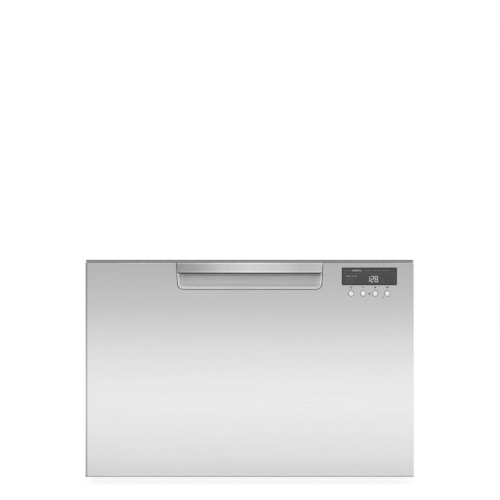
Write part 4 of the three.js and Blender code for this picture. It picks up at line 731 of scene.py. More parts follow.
def pocket():
    front, back, top = pocket_low.y, pocket_high.y, pocket_high.z
    inner_back = back - POCKET_WALL
    gap_width, gap_depth = SHADOW_GAP
    step = POCKET_GAP + gap_width
    rings = [
        pocket_ring(POCKET_GAP, back, top),
        pocket_ring(POCKET_GAP, front + gap_depth, top),
        pocket_ring(step, front + gap_depth, top),
        pocket_ring(step, front + 0.3 * MM, top - 0.5 * MM),
        pocket_ring(step + 0.3 * MM, front, top - 0.8 * MM),
        pocket_ring(POCKET_LIP - 0.3 * MM, front, top - 1.2 * MM),
    ]
    for i in range(POCKET_STEPS + 1):
        turn = math.pi / 2 * i / POCKET_STEPS
        rise = 1 - math.cos(turn)
        bottom = NOTCH_BOTTOM + POCKET_LIP + POCKET_SCOOP * rise
        y = front + 0.4 * MM + (inner_back - front - 0.4 * MM) * math.sin(turn)
        rings.append(pocket_ring(POCKET_LIP + POCKET_DRAW * rise, y, top - 1.5 * MM, bottom))
    shape = bmesh.new()
    # Bands 1 and 2, the step of the shadow gap, take the second, near-black finish: a painted shadow.
    loft(shape, rings, paint={1: 1, 2: 1})
    return shape


def moulded(name, colour, grain=0.0004, depth=0.00002, roughness=(0.38, 0.5), mottle=0.03):
    """Moulded plastic: a fine texture from the mould, and a gloss that varies a little."""
    finish = Finish(name, colour, roughness[0])
    texture = finish.noise(grain, 4)
    cloud = finish.noise(0.03, 2)
    low, high = ([part * (1 + side * mottle) for part in colour] for side in (-1, 1))
    finish.set("Base Color", finish.ramp(cloud, [(0.3, low), (0.7, high)]))
    finish.set("Roughness", finish.span(texture, *roughness, 0.3, 0.7))
    finish.bump(texture, depth, 0.6)
    return finish


# Painted shade: the bar's shadow just below it and the dim top of the pocket.
POCKET_SHADE = [  # from the lip up to the top
    (0.0, [1.0] * 3),
    (0.06, [0.97] * 3),
    (0.085, [0.9] * 3),
    (0.115, [0.69] * 3),
    (0.15, [0.75] * 3),
    (0.2, [0.9] * 3),
    (0.27, [1.0] * 3),
    (0.42, [1.0] * 3),
    (0.462, [0.92] * 3),
    (0.5, [0.58] * 3),
    (0.56, [0.5] * 3),
    (1.0, [0.45] * 3),
]
POCKET_SHADE_ENDS = [  # how much of that shading is left, from the left end to the right
    (0.0, [0.0] * 3),
    (0.03, [0.15] * 3),
    (0.055, [0.9] * 3),
    (0.94, [0.95] * 3),
    (0.98, [0.6] * 3),
    (1.0, [0.3] * 3),
]
pocket_plastic = moulded("pocket_plastic", tone(250))
upright = along(pocket_plastic, "Z", pocket_low.z, pocket_high.z)
pocket_shade_paint = pocket_plastic.ramp(upright, POCKET_SHADE)
pocket_colour = pocket_plastic.shader.inputs["Base Color"].links[0].from_socket
sideways = along(pocket_plastic, "X", pocket_low.x, pocket_high.x)
shade_share = pocket_plastic.ramp(sideways, POCKET_SHADE_ENDS)
pocket_plastic.set("Base Color", pocket_plastic.multiply(pocket_colour, pocket_shade_paint, shade_share))
# A near-black finish that paints shadow in gaps and slots.
shadow_paint = moulded("shadow_paint", tone(22), roughness=(0.6, 0.75))
show(
    "pocket",
    pocket(),
    body_of["handle_pocket"],
    slot_of["handle_pocket"],
    pocket_plastic,
    shadow_paint,
    stands_for=["handle_pocket"],
    sharp=30,
)
print("pocket is", round((pocket_high.y - pocket_low.y) / MM, 1), "mm deep")

# %% [markdown]
# A black gasket lies behind the cut edge of the steel all round the notch, and another strip lies
# along the bar's lower edge. Their near-black finish paints the shadow in those gaps, as fine dark
# lines.

# %% Gaskets of the notch and the bar
GASKET = (0.2 * MM, -1.4 * MM, 0.95 * MM)  # thickness, outer and inner edge


def notch_shadow_gasket():
    thick, outer, inner = GASKET
    back = PANEL_FACE + SHEET + 0.28 * MM
    top = seat_z - 0.2 * MM
    corners = [(outer, back), (outer, back - thick), (inner, back - thick), (inner, back)]
    rings = [[(x, y, z) for x, z in notch_line(inset, top)] for inset, y in corners]
    shape = bmesh.new()
    rows = [[shape.verts.new(point) for point in ring] for ring in rings]
    for row, following in zip(rows, [*rows[1:], rows[0]]):
        for i in range(len(row) - 1):
            shape.faces.new((row[i], row[i + 1], following[i + 1], following[i]))
    for end in (0, -1):
        shape.faces.new([row[end] for row in rows])
    return shape


show("notch_shadow_gasket", notch_shadow_gasket(), "drawer", "rubber", shadow_paint)

STRIP_TALL, STRIP_DEEP = 1.7 * MM, 1.6 * MM
STRIP_SHORT = 3.2 * MM  # how far the strip stops before the notch's wall


def bar_shadow_strip():
    half = wall_at(seat_z) - STRIP_SHORT
    top, back = bar_low.z - 0.05 * MM, PANEL_FACE + BAR_THICKNESS
    section = [
        (back, top),
        (back - STRIP_DEEP, top),
        (back - 0.8 * STRIP_DEEP, top - 0.7 * STRIP_TALL),
        (back - 0.3 * STRIP_DEEP, top - STRIP_TALL),
        (back, top - STRIP_TALL),
    ]
    shape = bmesh.new()
    loft(shape, [[(side * half, y, z) for y, z in section] for side in (-1, 1)])
    return shape


show("bar_shadow_strip", bar_shadow_strip(), "drawer", "rubber", shadow_paint)
print("gaskets set")

# %% [markdown]
# ## Top cap
# A dark moulded strip closes the top of the panel. The lens sees only its front edge, as one fine
# line, so its tone matters more than its form: dark grey, with a painted highlight in a paler band
# just above the steel.

# %% Finish the top cap
# Dark grey, and paler at the foot as a painted highlight.
CAP_TONE_AND_HIGHLIGHT = [(0.0, 205), (0.22, 192), (0.38, 122), (1.0, 122)]
cap_low, cap_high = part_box("front_top_cap")
cap_plastic = Finish("cap_plastic", tone(130), 0.5)
cap_height = along(cap_plastic, "Z", cap_low.z, cap_high.z)
cap_colour_and_highlight = cap_plastic.ramp(cap_height, [(share, tone(level)) for share, level in CAP_TONE_AND_HIGHLIGHT])
cap_grain = cap_plastic.noise(0.0004, 4)
speck = cap_plastic.ramp(cap_grain, [(0.3, [0.94] * 3), (0.7, [1, 1, 1])])
cap_plastic.set("Base Color", cap_plastic.multiply(cap_colour_and_highlight, speck))
cap_plastic.bump(cap_grain, 0.00002, 0.6)
rounded("front_top_cap", 0.3 * MM, cap_plastic)
print("top cap edged")

# %% [markdown]
# ## Display window
# The window is smoked glass set almost flush. Glass reflects a little at its face and swallows
# most light below it, which a dark base with a clear coat gives. The words and figures lie just
# under such a face; here each is a film thinner than paper, so it keeps its edge in every view.

# %% Glass of the window
window_glass = Finish("window_glass", tone(42, 43, 44), 0.12)
window_glass.set("Coat Weight", 0.4)
window_glass.set("Coat Roughness", 0.05)
haze = window_glass.noise(0.02, 3)
smoke = window_glass.ramp(haze, [(0.3, tone(40, 41, 42)), (0.7, tone(46, 46, 47))])
window_glass.set("Base Color", smoke)
rounded("display_lens", 0.25 * MM, window_glass)
GLASS_FACE = window_low.y
print("window", [round((b - a) / MM, 1) for a, b in zip(window_low, window_high)], "mm")

# %% [markdown]
# Every word, figure and symbol is a print on this plane or on the steel. It is drawn as a flat
# outline, or as a stroke through a few points, then pushed out to a thin film of dull ink.

# %% Helpers for printed marks
FILM = 0.08 * MM


def ink(name, colour):
    """A dull print with a fine grain in it."""
    finish = Finish(f"{name}_ink", colour, 0.5)
    dots = finish.noise(0.2 * MM, 2)
    pale = [part * 1.06 for part in colour]
    finish.set("Base Color", finish.ramp(dots, [(0.35, colour), (0.65, pale)]))
    return finish


def printed(name, face, flats, colour):
    """Flat marks on the plane y = face: each flat is an outline of (x, z) points."""
    shape = bmesh.new()
    for outline in flats:
        front = [shape.verts.new((x, face - FILM, z)) for x, z in outline]
        back = [shape.verts.new((x, face + FILM, z)) for x, z in outline]
        shape.faces.new(front)
        shape.faces.new(back)
        for i in range(len(front)):
            after = (i + 1) % len(front)
            shape.faces.new((front[i], front[after], back[after], back[i]))
    return show(name, shape, "drawer", slot_of["display_lens"], ink(name, colour))


def stroke(points, width):
    """A line of some width through points, as one flat outline."""
    sides = ([], [])
    for i, (x, z) in enumerate(points):
        before, after = points[max(i - 1, 0)], points[min(i + 1, len(points) - 1)]
        dx, dz = after[0] - before[0], after[1] - before[1]
        length = math.hypot(dx, dz)
        nx, nz = -dz / length * width / 2, dx / length * width / 2
        sides[0].append((x + nx, z + nz))
        sides[1].append((x - nx, z - nz))
    return sides[0] + sides[1][::-1]


print("marks are", 2 * FILM / MM, "mm thick")

# %% [markdown]
# ## What the display shows
# Time to go is three figures of seven bars each. Every bar is a long six-cornered lozenge, and a
# digit is named by which of the seven are lit, so one outline and one table draw any number.

# %% Figures
DIGIT_SIZE = (5.6 * MM, 11.3 * MM)
DIGIT_STEP = 7.2 * MM
DIGIT_BAR = 1.0 * MM
DIGIT_SHIFT = -0.35  # in steps: the narrow 1 leaves room on its left
DIGITS_AT = (0.2163, 0.3693)
BARS_OF = {"1": "bc", "2": "abged", "8": "abcdefg"}


def lozenge(start, end, width):
    """One lit bar between two corners of a digit."""
    (x0, z0), (x1, z1) = start, end
    length = math.hypot(x1 - x0, z1 - z0)
    ux, uz = (x1 - x0) / length, (z1 - z0) / length
    half, tip = width / 2, width * 0.6
    marks = [
        (0.08 * width, 0),
        (tip, half),
        (length - tip, half),
        (length - 0.08 * width, 0),
        (length - tip, -half),
        (tip, -half),
    ]
    return [(x0 + ux * a - uz * b, z0 + uz * a + ux * b) for a, b in marks]


def figure(digit, x, z):
    wide, high = DIGIT_SIZE[0] - DIGIT_BAR, DIGIT_SIZE[1] - DIGIT_BAR
    left, low = x + DIGIT_BAR / 2, z + DIGIT_BAR / 2
    right, middle, top = left + wide, low + high / 2, low + high
    ends = {
        "a": ((left, top), (right, top)),
        "b": ((right, top), (right, middle)),
        "c": ((right, middle), (right, low)),
        "d": ((left, low), (right, low)),
        "e": ((left, middle), (left, low)),
        "f": ((left, top), (left, middle)),
        "g": ((left, middle), (right, middle)),
    }
    return [lozenge(*ends[bar], DIGIT_BAR) for bar in BARS_OF[digit]]


lit = [
    outline
    for i, digit in enumerate("128")
    for outline in figure(digit, DIGITS_AT[0] + (i + DIGIT_SHIFT) * DIGIT_STEP, DIGITS_AT[1])
]
printed("display_figures", GLASS_FACE, lit, tone(230))
print(len(lit), "lit bars")

# %% [markdown]
# Small words name the programme and the settings. Blender's own font is drawn as flat outlines
# and turned into a mesh, then stood up on the glass. The words are the plain ones that any such
# machine has. The chosen programme is bright and the others are faint.

# %% Words on the display
def words(name, entries, colour):
    """Lines of small capitals: each entry is (text, left x, middle z, height, width)."""
    shape = bmesh.new()
    for text, x, z, tall, wide in entries:
        line = bpy.data.curves.new(name, "FONT")
        line.body = text
        line.extrude = 0.5
        holder = bpy.data.objects.new(name, line)
        scene.collection.objects.link(holder)
        bpy.context.view_layer.update()
        flat = bpy.data.meshes.new_from_object(holder)
        bpy.data.objects.remove(holder)
        spots = [vert.co for vert in flat.vertices]
        low, high = (
            [pick(spot[axis] for spot in spots) for axis in range(2)] for pick in (min, max)
        )
        grow = Vector((wide / (high[0] - low[0]), tall / (high[1] - low[1]), 2 * FILM))
        stand = Matrix.Rotation(math.pi / 2, 4, "X") @ Matrix.Diagonal((*grow, 1))
        move = Matrix.Translation((x, GLASS_FACE, z - tall / 2))
        shift = Matrix.Translation((-low[0], -low[1], 0))
        flat.transform(move @ stand @ shift)
        shape.from_mesh(flat)
        bpy.data.meshes.remove(flat)
    return show(name, shape, "drawer", slot_of["display_lens"], ink(name, colour))


TOP_LINE = 0.3905
words("display_chosen", [("NORMAL", 0.1872, TOP_LINE, 0.0028, 0.0168)], tone(214))
faint = [
    ("ECO", 0.1725, TOP_LINE, 0.0022, 0.0098),
    ("GLASS", 0.2085, TOP_LINE, 0.0022, 0.0125),
    ("RINSE", 0.2255, TOP_LINE, 0.0022, 0.0125),
    ("RAPID", 0.2425, TOP_LINE, 0.0022, 0.0125),
]
words("display_others", faint, tone(112))
words("display_delay", [("DELAY START", 0.1762, 0.3803, 0.0022, 0.0195)], tone(176))
settings = [
    ("HEATER", 0.1762, 0.3750, 0.0020, 0.0125),
    ("KEY LOCK", 0.1762, 0.3697, 0.0019, 0.0150),
]
words("display_settings", settings, tone(104))
words("display_minutes", [("MIN", 0.2400, 0.3712, 0.0020, 0.0058)], tone(96))
print("display words set")

# %% [markdown]
# A thin rule parts the programmes from the settings, and a dark printed border hides where the
# glass is glued.

# %% Rule and border of the display
BORDER = 1.5 * MM
HAIR = 0.01 * MM  # keeps the strips from sharing an edge
RULE_Z = 0.3848
x0, x1, z0, z1 = window_low.x, window_high.x, window_low.z, window_high.z
edge = 0.3 * MM
low_end, high_end = z0 + BORDER + HAIR, z1 - BORDER - HAIR
strips = [  # left, right, bottom and top of each side
    (x0 + edge, x1 - edge, z1 - BORDER, z1 - edge),
    (x0 + edge, x1 - edge, z0 + edge, z0 + BORDER),
    (x0 + edge, x0 + BORDER, low_end, high_end),
    (x1 - BORDER, x1 - edge, low_end, high_end),
]
frame_lines = [
    [(left, low), (right, low), (right, high), (left, high)] for left, right, low, high in strips
]
printed("display_border", GLASS_FACE, frame_lines, tone(24))
rule = [(x0 + BORDER, RULE_Z - 0.2 * MM), (x1 - BORDER, RULE_Z - 0.2 * MM)]
rule += [(x, RULE_Z + 0.2 * MM) for x, _ in reversed(rule)]
printed("display_rule", GLASS_FACE, [rule], tone(96))
print("border", BORDER / MM, "mm")

# %% [markdown]
# ## Keys
# Four round keys are turned from bright steel, each in a dark ring where the panel is drilled. A
# turned face is slightly dished and carries fine rings from the tool. The profile is spun about
# the key's own middle, and the finish reads the distance from that middle, so the rings stay round.

# %% Turned shapes
def turned(shape, profile, sides=48, place=None):
    """Spins a profile of (radius, height) about Z, then puts it in place."""
    rows = []
    for radius, height in profile:
        if radius < NO_LENGTH:
            rows.append([(0, 0, height)])
            continue
        steps = [2 * math.pi * i / sides for i in range(sides)]
        rows.append([(radius * math.cos(t), radius * math.sin(t), height) for t in steps])
    place = place or Matrix.Identity(4)
    rings = [[shape.verts.new(place @ Vector(point)) for point in row] for row in rows]
    for row, following in zip(rings, rings[1:]):
        for i in range(sides):
            after = (i + 1) % sides
            corners = [row[i % len(row)], row[after % len(row)]]
            corners += [following[after % len(following)], following[i % len(following)]]
            unique = list(dict.fromkeys(corners))
            if len(unique) > 2:
                shape.faces.new(unique)


TO_BACK = Matrix.Rotation(-math.pi / 2, 4, "X")  # turns +Z into +Y
print("turning helper ready")

# %% [markdown]
# A key is a wide cap on a narrower stem. Its mesh is made round its own middle, because the
# ringed finish measures from there, and the piece is then moved to the key's place.

# %% Keys
KEY_RADIUS = 4.5 * MM
KEY_STEM = 3 * MM
KEY_CAP = 2 * MM
RING_SCALE = 900  # of the wave pattern, which gives a ring about every 0.35 mm


def key_shape(length):
    profile = [
        (0, 0.22 * MM),
        (1.6 * MM, 0.2 * MM),
        (3.0 * MM, 0.12 * MM),
        (3.9 * MM, 0.02 * MM),
        (4.2 * MM, 0),
        (4.38 * MM, 0.05 * MM),
        (KEY_RADIUS, 0.22 * MM),
        (KEY_RADIUS, KEY_CAP),
        (KEY_STEM, KEY_CAP),
        (KEY_STEM, length),
        (0, length),
    ]
    shape = bmesh.new()
    turned(shape, profile, 64, TO_BACK)
    return shape


key_steel = Finish("key_steel", tone(232), 0.25, 1.0)
spot = key_steel.node("SeparateXYZ", {"Vector": key_steel.place()})
flat_spot = key_steel.node("CombineXYZ", {"X": spot.outputs["X"], "Y": spot.outputs["Z"]})
rings_in = {"Vector": flat_spot.outputs[0], "Scale": RING_SCALE, "Distortion": 0.6, "Detail": 2.0}
tool_rings = key_steel.node("TexWave", rings_in, wave_type="RINGS", rings_direction="SPHERICAL")
level = tool_rings.outputs["Fac"]
key_steel.set("Base Color", key_steel.ramp(level, [(0.2, tone(226)), (0.8, tone(240))]))
key_steel.set("Roughness", key_steel.span(level, 0.2, 0.32))
key_steel.bump(level, 0.00001, 0.4)
for key in KEYS:
    low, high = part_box(key)
    piece = show(
        f"{key}_turned",
        key_shape(high.y - low.y),
        body_of[key],
        slot_of[key],
        key_steel,
        stands_for=[key],
        sharp=45,
    )
    piece.location = ((low.x + high.x) / 2, low.y, (low.z + high.z) / 2)
print(len(KEYS), "keys at z", round(middle_of(KEYS[0]).z, 4))

# %% [markdown]
# A small printed symbol over each key says what it does: a broken ring with a bar for power, an
# arrowhead for the next programme, a dot for options and a bar for start. They are strokes of
# ink, so a short list of points draws each. A tell-tale light and a child-lock mark sit lower.

# %% Symbols over the keys
SYMBOL_RISE = 11.1 * MM
INK_WIDTH = 0.95 * MM
symbols = []
for key in KEYS:
    centre = middle_of(key)
    x, z = centre.x, centre.z + SYMBOL_RISE
    if key == "power_button":
        symbols.append(stroke(arc(x, z, 1.7 * MM, 125, 415, 14), INK_WIDTH))
        symbols.append(stroke([(x, z + 0.2 * MM), (x, z + 2.1 * MM)], INK_WIDTH))
    elif key == "programme_button":
        peak = [(x - 2.2 * MM, z - 1.0 * MM), (x, z + 1.1 * MM), (x + 2.2 * MM, z - 1.0 * MM)]
        symbols.append(stroke(peak, INK_WIDTH))
    elif key == "option_button":
        symbols.append(circle(x, z, 1.6 * MM))
    else:
        symbols.append(round_box(x - 2.2 * MM, x + 2.2 * MM, z - 1.1 * MM, z + 1.1 * MM, 0.9 * MM))
printed("key_symbols", PANEL_FACE, symbols, tone(60))

LIGHT_AT = (0.2182, 0.3482)
MARK_AT = (0.2435, 0.3416)
printed("tell_tale_light", PANEL_FACE, [circle(*LIGHT_AT, 1.55 * MM)], tone(52))
x, z = MARK_AT
lock = [
    stroke(arc(x, z + 0.4 * MM, 0.8 * MM, 0, 180, 8), 0.4 * MM),
    round_box(x - 1.1 * MM, x + 1.1 * MM, z - 1.3 * MM, z + 0.3 * MM, 0.2 * MM),
]
printed("lock_mark", PANEL_FACE, lock, tone(110))
print(len(symbols), "outlines over the keys")

# %% [markdown]
# ## Finishes of the works
# Behind the front the drawer is an honest machine: zinc-coated sheet, moulded plastics, rubber and
# wire with a nylon coat. Zinc settles in flat crystals of a few millimetres, each a little
# lighter or darker, so a cell pattern with one grey level for each cell gives the spangle.

# %% Sheet metal finishes
def zinc_coat():
    finish = Finish("galvanised_sheet", tone(190), 0.42, 0.9)
    crystal = finish.spangle(0.0045)
    stain = finish.noise(0.09, 3)
    colour = finish.ramp(crystal, [(0.0, tone(184, 187, 189)), (1.0, tone(199, 201, 203))])
    aged = finish.ramp(stain, [(0.3, [0.95] * 3), (0.65, [1, 1, 1])])
    finish.set("Base Color", finish.multiply(colour, aged))
    finish.set("Roughness", finish.span(crystal, 0.4, 0.52))
    finish.bump(crystal, 0.00001, 0.3)
    return finish


galvanised = zinc_coat()
works_steel = Finish("works_steel", tone(200), 0.34, 1.0)
smear = works_steel.noise(0.05, 2)
brush(works_steel, works_steel.ramp(smear, [(0.3, tone(188)), (0.7, tone(206))]), 0.05, (0.3, 0.44))
print("sheet metal finishes ready")

# %% [markdown]
# Moulded parts differ in colour and in how coarse the mould was, and all come from the one recipe
# written for the pocket. The tub's plastic is smooth for the water to run off, with a faint cloud
# of lime. Rubber is dull and drinks the light. The nylon coat is dipped, so it is smooth and
# slightly uneven, like peel, with a clear gloss.

# %% Moulded, rubber and coated finishes
tub_plastic = moulded("tub_plastic", tone(207, 210, 212), 0.0012, 0.00001, (0.3, 0.42), 0.015)
grey_plastic = moulded("grey_plastic", tone(182, 183, 185))
frame_plastic = moulded("frame_plastic", tone(176, 177, 179), 0.0006, 0.00003, (0.45, 0.6))
dark_plastic = moulded("dark_plastic", tone(86, 88, 91))
black_plastic = moulded("black_plastic", tone(45, 46, 48), 0.0005, 0.00003)
white_plastic = moulded("white_plastic", tone(228, 228, 226), 0.0006, 0.00001, (0.3, 0.42))
black_rubber = moulded("black_rubber", tone(54, 55, 56), 0.0003, 0.00003, (0.65, 0.85), 0.08)

nylon = Finish("nylon_coat", tone(168, 172, 176), 0.34)
nylon.set("Coat Weight", 0.35)
nylon.set("Coat Roughness", 0.15)
peel = nylon.noise(0.0018, 2)
dip = nylon.noise(0.03, 2)
nylon.set("Base Color", nylon.ramp(dip, [(0.3, tone(161, 165, 169)), (0.7, tone(176, 180, 184))]))
nylon.set("Roughness", nylon.span(peel, 0.28, 0.42, 0.3, 0.7))
nylon.bump(peel, 0.00004, 0.4)
print("moulded, rubber and nylon finishes ready")

# %% [markdown]
# ## Sheet metal and mouldings
# Most of the works needs no new form, only its finish and its edges: a pressed pan has a larger
# radius than a cut plate, and a moulding lies between. One table gives each part its finish and
# edge radius, and the helper does the rest.

# %% Dress the sheet metal and the mouldings
DRESSED = {
    "base_pan": (galvanised, 0.5),
    "left_side_panel": (galvanised, 0.4),
    "right_side_panel": (galvanised, 0.4),
    "rear_panel": (galvanised, 0.4),
    "front_top_brace": (galvanised, 0.4),
    "rear_top_brace": (galvanised, 0.4),
    "left_outer_runner": (galvanised, 0.35),
    "right_outer_runner": (galvanised, 0.35),
    "left_middle_runner": (galvanised, 0.35),
    "right_middle_runner": (galvanised, 0.35),
    "left_inner_runner": (galvanised, 0.35),
    "right_inner_runner": (galvanised, 0.35),
    "left_lid_guide": (galvanised, 0.3),
    "right_lid_guide": (galvanised, 0.3),
    "left_cam_slide": (works_steel, 0.3),
    "right_cam_slide": (works_steel, 0.3),
    "heater_plate": (works_steel, 0.5),
    "left_side_trim": (black_rubber, 0.6),
    "right_side_trim": (black_rubber, 0.6),
    "lid_seal": (black_rubber, 1.2),
    "lid": (tub_plastic, 0.7),
    "tub": (tub_plastic, 0.8),
    "front_inner_frame": (frame_plastic, 0.5),
    "cutlery_basket": (grey_plastic, 0.45),
    "detergent_dispenser": (grey_plastic, 0.6),
    "drain_outlet": (grey_plastic, 0.5),
    "dispenser_door": (white_plastic, 0.6),
    "inlet_valve": (white_plastic, 0.5),
    "flood_switch": (white_plastic, 0.6),
    "wash_rotor": (white_plastic, 0.4),
    "rinse_aid_cap": (dark_plastic, 0.6),
    "drain_filter": (dark_plastic, 0.4),
    "control_module": (black_plastic, 0.6),
    "wash_motor": (black_plastic, 0.8),
    "left_lid_actuator": (black_plastic, 0.6),
    "right_lid_actuator": (black_plastic, 0.6),
    "mains_gland": (black_plastic, 0.5),
}
for node, (finish, edge) in DRESSED.items():
    rounded(node, edge * MM, finish)
print(len(DRESSED), "parts dressed")

# %% [markdown]
# ## Wire
# The racks are welded from round wire, bent over a former and dipped in nylon. A wire is a circle
# carried along a path. The circle must not twist on the way, so each ring takes the direction of
# the one before and only tips with the bend. Free ends are domed, as a dipped end is.

# %% Helpers for wire
RACK_WIRE = 2 * MM
RAIL_WIRE = 2.5 * MM
BEND_STEPS = 7


def bend(corners, radius, closed=False):
    """A path through corners, each turned on a radius."""
    corners = [Vector(corner) for corner in corners]
    path = []
    for i, corner in enumerate(corners):
        if not closed and i in (0, len(corners) - 1):
            path.append(corner)
            continue
        arriving = (corner - corners[i - 1]).normalized()
        leaving = (corners[(i + 1) % len(corners)] - corner).normalized()
        turn = arriving.angle(leaving)
        inward = (leaving - arriving * arriving.dot(leaving)).normalized()
        centre = corner - arriving * radius * math.tan(turn / 2) + inward * radius
        for k in range(BEND_STEPS + 1):
            angle = turn * k / BEND_STEPS
            offset = arriving * math.sin(angle) - inward * math.cos(angle)
            path.append(centre + offset * radius)
    return path


def dome(spots, widths, end):
    """Ends a wire in a small dome instead of a flat cut."""
    tip, wide = spots[end], widths[end]
    outward = (tip - spots[1 if end == 0 else -2]).normalized()
    steps = [(0.9, 1.0), (0.35, 0.85), (0.0, 0.45)]
    ring = [(tip - outward * wide * back, wide * share) for back, share in steps]
    if end == 0:
        ring.reverse()
        return [spot for spot, _ in ring] + spots[1:], [width for _, width in ring] + widths[1:]
    return spots[:-1] + [spot for spot, _ in ring], widths[:-1] + [width for _, width in ring]


def tube(shape, path, radius, sides=10, closed=False):
    """A round wire along a path; radius is one number, or one for each point."""
    spots = [Vector(point) for point in path]
    widths = [radius] * len(spots) if isinstance(radius, float) else list(radius)
    if not closed:
        for end in (0, -1):
            spots, widths = dome(spots, widths, end)
    count = len(spots)
    side = None
    rings = []
    for i, spot in enumerate(spots):
        before = spots[i - 1] if closed or i else spot
        after = spots[(i + 1) % count] if closed or i < count - 1 else spot
        ahead = (after - before).normalized()
        side = side or ahead.orthogonal()
        side = (side - ahead * side.dot(ahead)).normalized()
        up = ahead.cross(side)
        turns = [2 * math.pi * k / sides for k in range(sides)]
        offsets = [side * math.cos(t) + up * math.sin(t) for t in turns]
        rings.append([spot + offset * widths[i] for offset in offsets])
    if closed:
        loft(shape, [*rings, rings[0]], caps=(False, False))
    else:
        loft(shape, rings)


print("wire helpers ready")

# %% [markdown]
# ## Dish rack
# Wires across the rack run under the ones from front to back, where they are welded, and a
# heavier wire closes the rim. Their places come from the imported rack: the rim from its box, the
# floor from its lowest point, and the wires at even steps from the middle.

# %% Weld the dish rack
CROSS_STEP = 60 * MM
LONG_STEP = 80 * MM
RACK_BEND = 20 * MM
RIM_BEND = 30 * MM
WELD = 0.7 * MM  # how far two wires melt into each other
END_ROOM = 25 * MM  # no wire stands nearer to the rack's corners
TINE_STEP = 24 * MM
TINE_HEIGHT = 64 * MM
FIXED_TINES = 8
rack_low, rack_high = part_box("dish_rack")
RIM_X, RIM_Y = rack_high.x - RAIL_WIRE, rack_high.y - RAIL_WIRE
RACK_X, RACK_Y = (edge - RACK_WIRE - RAIL_WIRE + WELD for edge in (RIM_X, RIM_Y))
FLOOR_Z = rack_low.z + RACK_WIRE
LONG_Z = FLOOR_Z + 2 * RACK_WIRE - WELD
axle_low, axle_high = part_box("right_cup_rack")
RIM_Z = axle_low.z + RACK_WIRE + 4 * MM


def steps_within(step, limit):
    side = int(limit / step)
    return [i * step for i in range(-side, side + 1)]


def rack_wires():
    shape = bmesh.new()
    for y in steps_within(CROSS_STEP, RACK_Y - END_ROOM):
        route = [(-RACK_X, y, RIM_Z), (-RACK_X, y, FLOOR_Z), (RACK_X, y, FLOOR_Z), (RACK_X, y, RIM_Z)]
        tube(shape, bend(route, RACK_BEND), RACK_WIRE)
    for x in steps_within(LONG_STEP, RACK_X - END_ROOM):
        route = [(x, -RACK_Y, RIM_Z), (x, -RACK_Y, LONG_Z), (x, RACK_Y, LONG_Z), (x, RACK_Y, RIM_Z)]
        tube(shape, bend(route, RACK_BEND), RACK_WIRE)
    corners = [(x * RIM_X, y * RIM_Y, RIM_Z) for x, y in ((-1, -1), (1, -1), (1, 1), (-1, 1))]
    tube(shape, bend(corners, RIM_BEND, closed=True), RAIL_WIRE, 12, closed=True)
    for y in (0, 2 * CROSS_STEP):
        for i in range(FIXED_TINES):
            x = (i - (FIXED_TINES - 1) / 2) * TINE_STEP
            tube(shape, [(x, y, FLOOR_Z), (x, y, FLOOR_Z + TINE_HEIGHT)], RACK_WIRE)
    return shape


show("rack_wires", rack_wires(), "drawer", "coated_wire", nylon, stands_for=["dish_rack"], sharp=60)
print("rack", [round((b - a) / MM) for a, b in zip(rack_low, rack_high)], "mm")

# %% [markdown]
# The folding rows and shelves turn in small moulded clips that snap onto the rack. Each clip is
# one outline with an eye in it, pushed out to the clip's width. Tessellation fills a face that
# has a hole, and the cut edges are then rounded.

# %% Helpers for clips
ALONG_X = Matrix(((0, 0, 1, 0), (1, 0, 0, 0), (0, 1, 0, 0), (0, 0, 0, 1)))
ALONG_Y = Matrix(((1, 0, 0, 0), (0, 0, 1, 0), (0, 1, 0, 0), (0, 0, 0, 1)))


def prism(shape, loops, low, high, place):
    """Pushes an outline, with any holes listed after it, from one end to the other."""
    ends = [
        [[shape.verts.new(place @ Vector((u, v, at))) for u, v in loop] for loop in loops]
        for at in (low, high)
    ]
    for near, far in zip(*ends):
        for i in range(len(near)):
            after = (i + 1) % len(near)
            shape.faces.new((near[i], near[after], far[after], far[i]))
    flat = [[Vector((u, v, 0)) for u, v in loop] for loop in loops]
    for end in ends:
        verts = [vert for loop in end for vert in loop]
        for a, b, c in tessellate_polygon(flat):
            shape.faces.new((verts[a], verts[b], verts[c]))


print("clip helpers ready")

# %% [markdown]
# Each folding row has a clip at both ends of its axle, standing on the rack's floor. Each shelf
# has two that reach in from the rim. The eyes are a little wider than the wire, so it can turn.

# %% Clips of the folding rows and shelves
CLIP_WIDTH = 10 * MM
EYE = RACK_WIRE + 0.4 * MM
ROWS = ["front_tine_row", "rear_tine_row"]
FOLDING_TINES = 11
ROW_CLIP_X = (FOLDING_TINES - 1) / 2 * TINE_STEP + RACK_WIRE + 1.5 * MM
SHELF_CLIP_Y = 110 * MM


